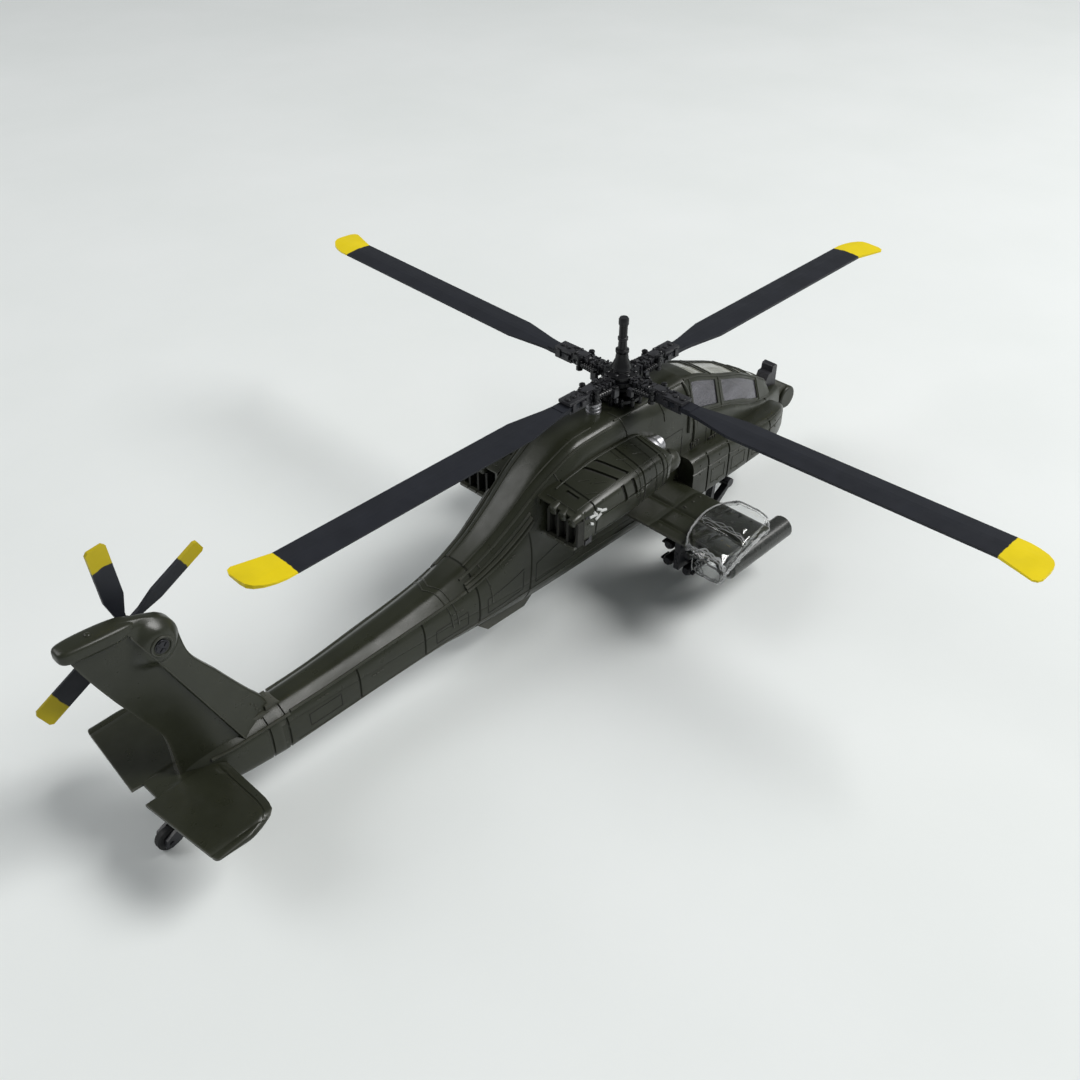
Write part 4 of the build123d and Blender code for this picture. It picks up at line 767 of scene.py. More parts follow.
def make_fin_cap():
    """Long cap with soft square sections across the top of the fin."""
    cap = Solids()
    rings = []
    for x, half, low, high in FIN_CAP_STATIONS:
        ring = []
        for i in range(28):
            t = 2 * math.pi * i / 28
            reach = [math.copysign(abs(v) ** 0.55, v) for v in (math.cos(t), math.sin(t))]
            ring.append(Vector((x, half * reach[0], (low + high) / 2 + (high - low) / 2 * reach[1])))
        rings.append(ring)
    cap.rings(rings)
    cap.lathe((-145.5, 0, 73.0), (0, 0, 1), [(-0.4, 0.8), (0.15, 0.8), (0.35, 0.5), (0.4, 0.1)], 16)
    cap.piece("fin_cap", "olive_paint", subdiv=1, sharp=60)


def make_fin_trim():
    """Ridge lines, rivets and root rails of the fin, and the cross screw in its ringed well."""
    trim = Solids()
    screw_y = fin_point(FIN_SCREW.z, 0.2, -1).y
    trim.lathe((FIN_SCREW.x, screw_y + 0.5, FIN_SCREW.z), (0, -1, 0),
               [(0, 2.05), (0, 2.75), (0.62, 2.75), (0.78, 2.55), (0.72, 2.2), (0.45, 2.05)], 40)
    for side in (1, -1):
        trim.line([fin_point(22.5 + 46.5 * i / 24, RIDGE_F, side) for i in range(25)], 0.17, 8)
        trim.line([fin_point(33.0 + 0.6 * t, 0.05 + 0.26 * t / 10, side) + Vector((0, 0, -0.9 * t)) * 0.3
                   for t in range(11)], 0.13)
        for k in range(6):
            base = fin_point(25.0 + 1.1 * k, 0.10 + 0.012 * (k % 2), side)
            trim.lathe(base, (0, side, 0), [(-0.3, 0.35), (0.12, 0.32), (0.2, 0.1)], 10)
        rail = [hull_point(ROOT_STATIONS, x, 2.72, side, 0.15) for x in spread(-127.0, -105.0, 2.0)]
        trim.line(rail, 0.45, 8)
    trim.piece("fin_trim", "olive_paint")
    # Dark disc at the floor of the screw's well: painted shade.
    recess = Solids()
    recess.lathe((FIN_SCREW.x, screw_y + 0.35, FIN_SCREW.z), (0, -1, 0), [(0, 2.2), (0.3, 2.2)], 32)
    recess.piece("fin_screw_well", "olive_paint", material=SEAM_AND_SHADE)
    screw = Solids()
    cross_screw(screw, (FIN_SCREW.x, screw_y + 0.1, FIN_SCREW.z), (0, -1, 0), 1.75, 0.42)
    screw.piece("fin_screw_head", "screw_steel", stands_for=("fin_screw",), bevel=0.05)


def cross_screw(solids, base, axis, radius, height):
    """Pan head with four raised quarters that leave a cross recess between them."""
    axis = Vector(axis)
    solids.lathe(base, axis, [(0, radius), (height * 0.55, radius), (height * 0.8, radius * 0.92),
                              (height * 0.8, 0.05)], 32)
    side = axis.orthogonal().normalized()
    other = axis.cross(side)
    for k in range(4):
        t = math.pi / 4 + k * math.pi / 2
        middle, left, right = (side * math.cos(a) + other * math.sin(a) for a in (t, t + 0.62, t - 0.62))
        foot = Vector(base) + axis * height * 0.78
        quarter = [foot + middle * radius * 0.24, foot + left * radius * 0.80,
                   foot + middle * radius * 0.90, foot + right * radius * 0.80]
        solids.rings([quarter, [v + axis * height * 0.42 - middle * 0.02 for v in quarter]])


STAB_Z, STAB_GROOVE = 21.0, 0.22
LEAST_T = 0.12


def stab_edge(y):
    """Leading and trailing edge x of the stabilizer at y, with rounded tip corners."""
    span = abs(y)
    lead = -124.0 if span < 20 else -124.0 - 0.9 * ((span - 20) / 5.0) ** 2
    trail = -145.0 + (span - 3.0) * 0.10 if span > 3.05 else -142.0
    if span > 25.0:
        lead = -124.9 - 0.36 * (span - 25.0) - 6.4 * ((span - 25.0) / 3.6) ** 1.7
    if span > 27.0:
        trail += 1.1 * (1 - math.sqrt(max(0.0, 1 - ((span - 27.0) / 1.6) ** 2)))
    return lead, trail


def make_stabilizer():
    """Level tailplane with a hinge groove and rounded tips."""
    stab = Solids()
    fs = [0, 0.006, 0.02, 0.045, 0.08, 0.11, 0.117, 0.133, 0.14, 0.2, 0.3, 0.4, 0.5, 0.6, 0.7, 0.8, 0.9,
          0.97, 1.0]
    rings = []
    marks = (-26.6, 26.6)
    ys = [y for y in spread(-28.6, 28.6, 1.9, marks, GROOVE_W) if abs(abs(y) - 3.0) > 0.4]
    ys = sorted(ys + [-3.1, -3.0, 3.0, 3.1, 27.6, 28.1, 28.45, -27.6, -28.1, -28.45])
    for y in ys:
        lead, trail = stab_edge(y)
        tip = 1.0 if abs(y) < 27.4 else math.sqrt(max(0.03, 1 - ((abs(y) - 27.4) / 1.24) ** 2))
        ring = []
        for sign, f in both_faces(fs):
            thick = 1.1 * math.sqrt(min(1.0, f / 0.16 + 0.002)) * (1 - 0.62 * max(0.0, f - 0.25) / 0.75)
            hinge = 1.0 if 0.115 < f < 0.135 and 6 < abs(y) < 26 else 0.0
            cut = STAB_GROOVE * max(hinge, notch(y, marks, GROOVE_W))
            z = STAB_Z + sign * max(LEAST_T, thick * tip - cut)
            ring.append(Vector((lead + (trail - lead) * f, y, z)))
        rings.append(ring)
    stab.rings(rings)
    stab.piece("stabilizer_skin", "olive_paint", stands_for=("stabilizer",), sharp=45)


# ---------------------------------------------------------------- wings
WING_X, WING_Z, WING_HALF_T = (16.5, 41.5), 25.5, 1.4


def make_wing(name, side):
    """Stub wing with flap grooves and nine rivets."""
    wing = Solids()
    fs = [0, 0.004, 0.015, 0.04, 0.08, 0.14, 0.22, 0.32, 0.42, 0.515, 0.522, 0.538, 0.545, 0.6, 0.68, 0.76,
          0.812, 0.819, 0.835, 0.842, 0.9, 0.96, 1.0]
    marks = (21.0, 33.5)
    rings = []
    for y in sorted(set(spread(9.0, 47.4, 2.4, marks, GROOVE_W) + [46.6, 47.0, 47.25])):
        tip = 1.0 if y < 46.5 else math.sqrt(max(0.05, 1 - ((y - 46.5) / 0.95) ** 2))
        shrink = 0.5 * (1 - tip)
        ring = []
        for sign, f in both_faces(fs):
            thick = WING_HALF_T * math.sqrt(min(1.0, f / 0.13 + 0.002)) * (1 - 0.72 * max(0.0, f - 0.3) / 0.7)
            cut = 0.16 if 0.52 < f < 0.54 else 0.14 if 0.817 < f < 0.837 and y > 21 else 0.0
            cut = max(cut, 0.14 * notch(y, marks, GROOVE_W))
            x = WING_X[1] - shrink - (WING_X[1] - WING_X[0] - 2 * shrink) * f
            ring.append(Vector((x, side * y, WING_Z + sign * max(LEAST_T, thick * tip - cut))))
        rings.append(ring)
    wing.rings(rings)
    for y in (23.5, 31.0, 38.5):
        for x in (30.6, 34.6, 38.0):
            wing.lathe((x, side * y, WING_Z + 1.1), (0, 0, 1), [(0, 0.42), (0.42, 0.42), (0.5, 0.3)], 12)
    wing.piece(f"wing_skin_{name}", "olive_paint", stands_for=(f"wing_{name}",), sharp=45)


# ---------------------------------------------------------------- engine nacelles
# Nacelle stations: x, outer y, top z at the outer side, belly z, and the rise of the roof towards the hull.
NACELLE_STATIONS = [
    (-18.5, 23.4, 47.6, 37.0, 0.5), (-12.0, 23.8, 48.8, 37.0, 1.4), (-4.0, 23.8, 49.4, 36.9, 2.1),
    (2.0, 23.7, 49.6, 37.0, 2.5), (18.0, 22.6, 49.3, 37.4, 2.8), (23.5, 22.0, 48.4, 38.0, 1.9),
    (26.2, 20.6, 46.6, 39.2, 0.7), (27.0, 18.4, 45.0, 40.6, 0.0),
]
NACELLE_SOFT = [0, 0.30, 0.34, 0.36, 0.34, 0.3, 0]
EXHAUST_YS, EXHAUST_Z, EXHAUST_PITCH = (14.2, 17.8, 21.4), 42.2, 3.6
SLOT_XS, SLOT_HALF, SLOT_DEEP = (-0.9, 3.7), 0.62, 0.9
SLOT_TOP_U, SLOT_SIDE_U = (1.04, 1.88), (2.16, 3.10)
NICK_X, NICK_HALF, NICK_U, NICK_DEEP = -12.6, 0.7 * SLOT_HALF, (1.30, 1.66), 0.7 * SLOT_DEEP
# Shift of the slots at the roof, and rows of the u where a further shift begins, its reach in u and its size.
SLOT_START = -1.9
SLOT_SKEW = ((1.04, 0.84, 4.0), (2.16, 0.94, 0.6), (3.10, 1.10, -2.7))


def nacelle_point(x, u, side, lift):
    """Point on the nacelle; u runs from the roof's inner edge over the outer side to the belly."""
    outer, top, belly, rise = at_station(NACELLE_STATIONS, x)
    corners = ((8.0, top + rise), (9.8, top + rise), (outer - 1.6, top + 0.1), (outer, belly + 7.6),
               (outer - 0.6, belly + 0.8), (outer - 5.0, belly), (8.0, belly))
    return section_point(corners, NACELLE_SOFT, x, u, side, lift)


def slot_depth(x, u):
    """Depth of the cooling slots over the top and the outer side, and of the short nick aft of them."""
    slotted = any(low < u < high for low, high in (SLOT_TOP_U, SLOT_SIDE_U))
    if slotted and any(abs(x - slot_x) < SLOT_HALF for slot_x in SLOT_XS):
        return SLOT_DEEP
    if abs(x - NICK_X) < NICK_HALF and NICK_U[0] < u < NICK_U[1]:
        return NICK_DEEP
    return 0.0


def slot_place(x, u):
    """Shift along the nacelle that makes the cooling slots run forward towards the outer side."""
    near = min(1.0, max(0.0, (9.0 - abs(x - sum(SLOT_XS) / 2)) / 5.0))
    lean = SLOT_START
    for start, reach, shift in SLOT_SKEW:
        lean += shift * min(1.0, max(0.0, (u - start) / reach))
    return x + near * lean


def make_nacelle(name, side):
    """Engine nacelle with cooling slots and three ridges over its exhaust."""
    body = Solids()
    cuts = (-11.0, 10.5, 20.0)
    xs = spread(-18.5, 27.0, 1.6, cuts, GROOVE_W)
    for slot_x, half in [(slot_x, SLOT_HALF) for slot_x in SLOT_XS] + [(NICK_X, NICK_HALF)]:
        xs = [x for x in xs if abs(x - slot_x) > half + 0.2]
        xs += [slot_x - half - 0.06, slot_x - half + 0.06, slot_x + half - 0.06, slot_x + half + 0.06]
    us = spread(0.0, 6.0, 0.1) + [2.975, 2.99, 3.01, 3.025]
    us = sorted(us + [u + d for u in SLOT_TOP_U + SLOT_SIDE_U + NICK_U for d in (-0.01, 0.01)])
    rings = []
    for x in sorted(xs):
        ring = []
        for u in us:
            cut = max(slot_depth(x, u), GROOVE_DEEP * notch(x, cuts, GROOVE_W) * (1 if 0.4 < u < 4.6 else 0))
            if 2.98 < u < 3.02 and x > -12:
                cut = max(cut, 0.28)
            ring.append(nacelle_point(slot_place(x, u), u, side, -cut))
        rings.append(ring)
    rim = rings[0]
    centre = sum(rim, Vector()) / len(rim)
    lip = [centre + (v - centre) * 0.90 for v in rim]
    well = [v + Vector((3.0, 0, 0)) for v in lip]
    body.rings([well, lip] + rings)
    for y in EXHAUST_YS:
        body.lathe((-19.3, side * y, 45.9 + 0.10 * (EXHAUST_YS[-1] - y)), (1, 0, 0.17),
                   [(0, 1.2), (0.25, 1.5), (1.2, 1.62), (3.2, 1.6), (4.4, 1.2), (5.0, 0.7), (5.3, 0.2)], 20)
        body.box((-18.9, side * y, 37.9), (1.2, 3.2, 0.9))
    body.piece(f"nacelle_skin_{name}", "olive_paint", stands_for=(f"nacelle_{name}",), sharp=42)


def make_nacelle_openings(name, side):
    """Dark louvres in the exhaust and dark floors of the cooling slots: painted shade in these openings."""
    louvres = Solids()
    # Dark vanes and back plate in the exhaust opening: painted shade.
    for k in range(4):
        y = EXHAUST_YS[0] + EXHAUST_PITCH * (k - 0.5)
        louvres.box((-17.6, side * y, EXHAUST_Z), (2.2, 0.85, 8.0))
    louvres.box((-16.2, side * EXHAUST_YS[1], EXHAUST_Z), (0.6, 11.6, 8.8))
    louvres.piece(f"exhaust_louvres_{name}", "olive_paint", material=SEAM_AND_SHADE, bevel=0.12)
    # Dark strands at the floors of the slots and the nick: painted shade.
    wells = Solids()
    for slot_x in SLOT_XS:
        for u0, u1 in ((1.08, 1.84), (2.20, 3.06)):
            us = [u0 + (u1 - u0) * t / 12 for t in range(13)]
            well = [nacelle_point(slot_place(slot_x, u), u, side, -SLOT_DEEP - 0.05) for u in us]
            wells.line(well, 0.55, 6)
    wells.line([nacelle_point(NICK_X, 1.33 + 0.3 * t / 6, side, -0.68) for t in range(7)], 0.34, 6)
    wells.piece(f"nacelle_slot_wells_{name}", "olive_paint", material=SEAM_AND_SHADE)


def make_nacelle_trim(name, side):
    """Bands, clips, rivets and edge beads on a nacelle."""
    trim = Solids()
    for x in (-16.6, 8.5, 16.5, 22.0):
        trim.line([nacelle_point(x, u, side, 0.04) for u in spread(0.9, 4.2, 0.1)], 0.17, 6)
    for x, u in ((-8.0, 1.3), (-5.0, 1.6), (7.0, 1.4), (13.0, 1.5), (15.5, 1.25), (-10.0, 1.7)):
        trim.line([nacelle_point(x + t, u + 0.05 * t, side, 0.03) for t in (0, 1, 2, 3)], 0.17, 6)
    for x, u in ((-14.5, 2.2), (-14.5, 3.0), (-7.0, 2.2), (6.6, 2.2), (14.0, 2.3), (14.0, 3.0), (19.0, 2.4)):
        trim.lathe(nacelle_point(x, u, side, -0.1), (0, side, 0), [(0, 0.38), (0.26, 0.34), (0.32, 0.15)], 10)
    for u, x0, x1, radius in ((1.02, -14.0, 22.0, 0.32), (1.93, -16.0, 22.0, 0.16)):
        trim.line([nacelle_point(x, u, side, 0.05) for x in spread(x0, x1, 2.0)], radius, 8)
    trim.piece(f"nacelle_trim_{name}", "olive_paint", bevel=0.05)


def make_intake_fairing(name, side):
    """Rounded nose of a nacelle and the short duct beside it."""
    front = Solids()
    front.lathe((24.0, side * 18.2, 43.2), (1, 0, 0),
                [(0, 3.4), (2.4, 3.6), (4.2, 3.4), (5.6, 2.7), (6.2, 1.8), (6.4, 0.8), (6.4, 0.05)], 32)
    front.lathe((26.5, side * 13.2, 41.0), (0.9, 0, 0.1), [(0, 1.9), (3.5, 1.9), (4.0, 1.5), (4.1, 0.2)], 24)
    front.piece(f"intake_fairing_{name}", "olive_plastic")


def make_intakes():
    """Bright turned intake bulbs, one on each side, with a ribbed collar."""
    cones = Solids()
    for side in (1, -1):
        cones.lathe((22.6, side * 13.0, 45.4), (1, side * -0.10, 0.05),
                    [(0, 2.2), (0.8, 3.2), (2.6, 3.5), (4.0, 3.3), (4.4, 3.0), (5.4, 3.05), (5.8, 2.6),
                     (6.8, 2.6), (7.4, 1.9), (7.9, 1.0), (8.0, 0.1)], 40)
    cones.piece("intake_bulbs", "silver_plastic", stands_for=("intake_cones",), sharp=30)


# ---------------------------------------------------------------- side bays
# Bay stations: x, outer y, top z and belly z.
BAY_STATIONS = [(42.5, 17.2, 34.6, 17.2), (44.0, 17.3, 34.7, 17.1), (82.0, 17.2, 32.2, 17.8),
                (95.0, 14.4, 30.8, 19.2), (98.5, 12.4, 29.6, 20.2)]
BAY_SOFT = [0, 0.30, 0.2, 0.32, 0]


def bay_point(x, u, side, lift):
    """Point on a side bay; u runs from the top's inner edge down to the belly."""
    outer, top, belly = at_station(BAY_STATIONS, x)
    corners = ((5.0, top - 0.5), (outer, top), (outer, belly + 2.8), (outer - 2.8, belly), (5.0, belly - 0.4))
    return section_point(corners, BAY_SOFT, x, u, side, lift)


def make_bay(name, side):
    """Side bay beside the cockpit with grooves, door outlines and rivets."""
    bay, trim = Solids(), Solids()
    cuts = (50.0, 61.0, 72.5, 84.0)
    us = sorted(spread(0.0, 4.0, 0.1) + [1.31, 1.325, 1.345, 1.36])
    rings = []
    for x in spread(42.5, 98.5, 2.2, cuts, GROOVE_W):
        ring = []
        for u in us:
            cut = GROOVE_DEEP * notch(x, cuts, GROOVE_W) * (1 if 0.9 < u < 3.2 else 0)
            if 1.32 < u < 1.35:
                cut = max(cut, 0.26)
            ring.append(bay_point(x, u, side, -cut))
        rings.append(ring)
    bay.rings(rings)
    bay.piece(f"side_bay_skin_{name}", "olive_paint", stands_for=(f"side_bay_{name}",), sharp=42)
    for x0 in (52.0, 63.0, 74.5):
        trim.line([bay_point(x, u, side, 0.01) for x, u in door(x0, x0 + 7, 1.5, 1.85, 4)], 0.12)
    for x0 in (46.0, 56.0, 66.5, 78.0, 88.0):
        for u in (1.2, 1.42, 1.9):
            trim.lathe(bay_point(x0, u, side, -0.1), (0, side, 0), [(0, 0.36), (0.24, 0.33), (0.3, 0.15)], 10)
    trim.line([bay_point(x, 0.98, side, 0.02) for x in spread(44.0, 94.0, 3.0)], 0.2, 8)
    trim.piece(f"side_bay_trim_{name}", "olive_paint")


# ---------------------------------------------------------------- canopy
# Canopy stations: x, roof z, half width of the roof, sill z, half width at the sill.
CANOPY_STATIONS = [
    (46.0, 58.4, 6.7, 45.6, 10.6), (52.5, 57.2, 6.7, 44.2, 10.4), (61.0, 54.1, 6.7, 42.2, 10.2),
    (66.0, 52.0, 6.7, 41.0, 10.0), (79.0, 47.0, 5.9, 36.4, 9.2), (86.0, 43.2, 5.3, 33.4, 8.6),
    (97.0, 36.6, 4.2, 30.6, 6.6), (100.4, 32.6, 3.5, 30.0, 5.4),
]
SIDE_PANES = ((50.4, 63.2), (66.6, 89.2))
ROOF_PANES = ((53.0, 60.4), (63.4, 77.6), (80.4, 85.4), (88.0, 95.6))
PANE_SIDE_V, PANE_ROOF_V = (1.14, 1.80), 0.80
CANOPY_SOFT = [0, 0.16, 0]
CANOPY_X, GLASS_SUNK = (46.0, 100.4), -0.45


def canopy_point(x, v, side, lift):
    """Point on the canopy; v runs from the middle of the roof over its edge at 1 to the sill at 2."""
    roof, roof_w, sill, sill_w = at_station(CANOPY_STATIONS, x)
    corners = [Vector((0, roof + 0.45)), Vector((roof_w, roof)), Vector((sill_w, sill))]
    place = rounded(corners, CANOPY_SOFT, v)
    out = (place - Vector((0, sill))).normalized()
    place = place + out * lift
    return Vector((x, side * place.x, place.y))


def in_pane(x, v):
    """True where the canopy is clear."""
    if PANE_SIDE_V[0] < v < PANE_SIDE_V[1]:
        return any(a < x < b for a, b in SIDE_PANES)
    return v < PANE_ROOF_V and any(a < x < b for a, b in ROOF_PANES)


def make_canopy():
    """Canopy frame with its sunk panes."""
    edges = sorted({x for pane in SIDE_PANES + ROOF_PANES for x in pane})
    xs = sorted(set(spread(*CANOPY_X, 2.0)) | set(edges))
    vs = sorted(set(spread(0.0, 2.0, 0.1)) | {*PANE_SIDE_V, PANE_ROOF_V, 0.9, 0.96, 1.04})
    frame_mesh, glass = Solids(), Solids()
    for side in (1, -1):
        for solids, whole, lift in ((frame_mesh, False, 0.0), (glass, True, GLASS_SUNK)):
            verts = [canopy_point(x, v, side, lift) for x in xs for v in vs]
            faces = [quad for i, j, quad in grid(len(xs), len(vs))
                     if whole or not in_pane((xs[i] + xs[i + 1]) / 2, (vs[j] + vs[j + 1]) / 2)]
            solids.add(verts, faces)
    for solids, lift in ((frame_mesh, 0.0), (glass, GLASS_SUNK)):
        for x in CANOPY_X:
            half = [canopy_point(x, v, 1, lift) for v in vs]
            loop = half + mirrored(half[1:])
            solids.add(loop, [tuple(range(len(loop)))])
    frame_mesh.piece("canopy_frame_skin", "olive_plastic", stands_for=("canopy_frame",), solid=0.8,
                     bevel=0.12)
    panes = glass.piece("canopy_glass", "clear_plastic", stands_for=("canopy_glazing",), solid=0.35).data
    # Level faces of the panes take the paler copy: painted light.
    panes.materials.append(ROOF_GLAZING_PAINTED_LIGHT)
    for face in panes.polygons:
        if abs(face.normal.z) > 0.75:
            face.material_index = len(panes.materials) - 1


def make_canopy_trim():
    """Raised beads along the edges and bars of the canopy frame."""
    trim = Solids()
    for side in (1, -1):
        trim.line([canopy_point(x, 1.0, side, 0.08) for x in spread(47.0, 99.0, 2.5)], 0.28, 8)
        trim.line([canopy_point(x, 1.9, side, 0.05) for x in spread(48.0, 98.0, 2.5)], 0.2, 8)
        for x in (49.4, 64.9, 90.0):
            trim.line([canopy_point(x, v, side, 0.05) for v in spread(1.0, 1.95, 0.1)], 0.2, 8)
    for x in (62.0, 79.0, 86.8):
        for side in (1, -1):
            trim.line([canopy_point(x, v, side, 0.05) for v in spread(0.0, 1.0, 0.1)], 0.2, 8)
    trim.piece("canopy_trim", "olive_plastic")


def make_cockpit_details():
    """Seat cushions, harness straps, dials and sticks inside the tub."""
    pads, dark = Solids(), Solids()
    recline = Matrix.Rotation(math.radians(-6), 3, "Y")
    for x, floor in ((52.6, 26.0), (73.2, 24.4)):
        pads.box((x + 5.4, 0, floor + 5.6), (5.4, 6.0, 1.0))
        pads.box((x + 2.6, 0, floor + 10.6), (1.2, 5.8, 8.6), recline)
        pads.box((x + 1.9, 0, floor + 18.4), (1.4, 4.0, 2.6))
        for y in (-1.4, 1.4):
            dark.box((x + 3.4, y, floor + 10.8), (0.3, 0.7, 8.4), recline)
        dark.rod((x + 9.4, 0, floor), (x + 8.8, 0, floor + 7.0), 0.35)
        dark.lathe((x + 8.8, 0, floor + 6.6), (0, 0, 1), [(0, 0.3), (0.4, 0.6), (1.2, 0.6), (1.6, 0.2)], 12)
    pads.piece("seat_cushions", "beige_plastic", bevel=0.35)
    for x, z, rows in ((66.0, 41.0, 3), (88.3, 31.0, 2)):
        for row in range(rows):
            for y in (-3.0, -1.0, 1.0, 3.0):
                dark.lathe((x + 0.25, y, z - 2.4 * row + 2.0), (-1, 0, 0),
                           [(0, 0.75), (0.35, 0.75), (0.45, 0.55)], 14)
    dark.piece("cockpit_dials_and_straps", "black_plastic", material=DIAL, bevel=0.05)


# ---------------------------------------------------------------- rotor head
HUB_X, HUB_Z = HUB.x / MM, HUB.z / MM
DAMPER = [(0, 0.7), (0.2, 1.05), (1.2, 1.05), (1.3, 0.8), (1.9, 0.8), (2.0, 1.05), (3.2, 1.05),
          (3.3, 0.8), (3.9, 0.8), (4.0, 1.0), (4.5, 0.9), (4.7, 0.5)]
ARM_BOLT = [(0, 1.0), (0.3, 1.0), (0.4, 0.85), (0.5, 0.85)]


def add_arm(hub, angle):
    """One arm of the hub: strap pack, fork, dampers, bolts and small lugs."""
    turn = Matrix.Rotation(math.radians(angle), 3, "Z")

    def at(r, w, h):
        return Vector((HUB_X, 0, HUB_Z)) + turn @ Vector((r, w, h))

    def bar(r0, r1, w0, w1, h0, h1):
        hub.box(at((r0 + r1) / 2, (w0 + w1) / 2, (h0 + h1) / 2), (r1 - r0, w1 - w0, h1 - h0), turn)

    bar(4.0, 13.0, -1.8, 1.8, -1.3, 1.3)
    for k in range(5):
        bar(5.2 + 1.5 * k, 5.9 + 1.5 * k, -2.1, 2.1, -1.6, 1.6)
    bar(12.0, 18.6, -2.0, 2.0, -1.6, 1.6)
    for h in (-1, 1):
        bar(17.8, 24.5, -2.3, 2.3, *sorted((h * 0.85, h * 1.8)))
        bar(13.0, 17.0, -1.5, 1.5, *sorted((h * 1.5, h * 2.1)))
    for w in (-1, 1):
        hub.lathe(at(14.0, w * 2.7, -2.3), (0, 0, 1), DAMPER, 14)
        hub.rod(at(7.2, w * 3.2, -0.2), at(13.2, w * 2.7, -0.2), 0.7, 12)
        for k in range(5):
            r, y = 8.2 + 0.9 * k, 3.08 - 0.08 * k
            hub.rod(at(r, w * y, -0.2), at(r + 0.4, w * (y - 0.03), -0.2), 0.95, 12)
        bar(18.4, 20.0, *sorted((w * 2.2, w * 3.0)), -0.7, 0.7)
        bar(22.2, 23.6, *sorted((w * 2.2, w * 2.7)), -1.2, 1.2)
        hub.lathe(at(16.6, w * 1.3, 1.9), (0, 0, 1), [(0, 0.5), (0.45, 0.5), (0.6, 0.3)], 6)
    for r in (20.6, 23.0):
        for up in (1, -1):
            hub.lathe(at(r, 0, up * 1.7), (0, 0, up), ARM_BOLT, 14)
    bar(6.2, 7.8, -4.4, -3.2, -2.3, 0.3)
    bar(6.0, 8.0, 3.2, 4.6, -2.3, 0.4)
    hub.rod(at(6.9, 4.0, 0.2), at(6.9, 4.0, 1.2), 0.8, 12)
    for k in range(26):
        r = 5.0 + 0.56 * k
        w = 1.5 * math.sin(5.1 * k + angle)
        size = 0.45 + 0.25 * math.sin(3.3 * k + 1.0) ** 2
        lean = turn @ Matrix.Rotation(math.radians(37 * k), 3, "Z")
        lean = lean @ Matrix.Rotation(math.radians(11 * k), 3, "X")
        hub.box(at(r, w, 1.75), (size * 1.8, size, size * 0.9), lean)
        if k % 2:
            spot = at(r, math.copysign(2.15, w), 0.6 * math.sin(2.0 * k))
            hub.box(spot, (size, size, size * 1.5), lean)
    hub.rod(at(10.0, -2.6, 0.4), at(10.0, 2.6, 0.4), 0.55, 10)
    hub.rod(at(15.2, -2.5, 1.0), at(15.2, 2.5, 1.0), 0.5, 10)


def make_rotor_head():
    """Turned rotor hub with a ring of bolts and four arms."""
    hub = Solids()
    hub.lathe((HUB_X, 0, HUB_Z - 2.7), (0, 0, 1),
              [(0, 4.4), (0.3, 5.2), (1.2, 5.4), (1.3, 4.7), (2.0, 4.7), (2.1, 5.5), (3.2, 5.6), (3.3, 4.9),
               (4.0, 4.9), (4.1, 5.3), (4.8, 5.2), (5.2, 4.2), (5.4, 3.5), (5.9, 3.4)], 40)
    for k in range(8):
        t = math.radians(45 * k + 22.5)
        hub.lathe((HUB_X + 4.3 * math.cos(t), 4.3 * math.sin(t), HUB_Z + 2.0), (0, 0, 1),
                  [(0, 0.62), (0.7, 0.62), (0.85, 0.4), (1.0, 0.4)], 6)
    for angle in (0, 90, 180, 270):
        add_arm(hub, angle)
    hub.piece("rotor_head", "black_plastic", "main_rotor", stands_for=("rotor_hub",), bevel=0.08)


def make_mast():
    """Turned mast post with collars."""
    mast = Solids()
    centre, size = box_mm("mast_post")
    profile = [(0, 3.1), (0.08, 2.8), (0.19, 2.0), (0.31, 1.75), (0.33, 2.0), (0.38, 2.0), (0.40, 1.35),
               (0.56, 1.25), (0.57, 1.5), (0.62, 1.5), (0.63, 1.25), (0.86, 1.25), (0.87, 1.5),
               (0.97, 1.5), (1, 1.2)]
    mast.lathe((HUB_X, 0, centre.z - size.z / 2), (0, 0, 1),
               [(f * size.z, radius) for f, radius in profile], 36)
    mast.piece("mast_post_turned", "black_plastic", "main_rotor", stands_for=("mast_post",))


def make_swashplate():
    """Swashplate with a ring of twelve posts and six short links."""
    plate = Solids()
    plate.lathe((HUB_X, 0, 58.0), (0, 0, 1),
                [(0, 5.0), (0.2, 5.6), (1.2, 5.6), (1.3, 5.0), (1.5, 5.0), (1.6, 6.6), (2.6, 6.6), (2.8, 6.2),
                 (2.8, 3.8)], 48)
    for k in range(12):
        t = math.radians(30 * k + 15)
        spot = Vector((HUB_X + 6.3 * math.cos(t), 6.3 * math.sin(t), 57.2))
        plate.lathe(spot, (0, 0, 1),
                    [(0, 0.55), (0.3, 0.8), (3.3, 0.8), (3.4, 0.5), (4.0, 0.5), (4.1, 0.3)], 12)
    for k in range(6):
        t = math.radians(60 * k)
        plate.rod((HUB_X + 4.4 * math.cos(t), 4.4 * math.sin(t), 56.6),
                  (HUB_X + 5.4 * math.cos(t), 5.4 * math.sin(t), 59.6), 0.6, 10)
    plate.piece("swashplate_detail", "black_plastic", stands_for=("swashplate",), bevel=0.05)


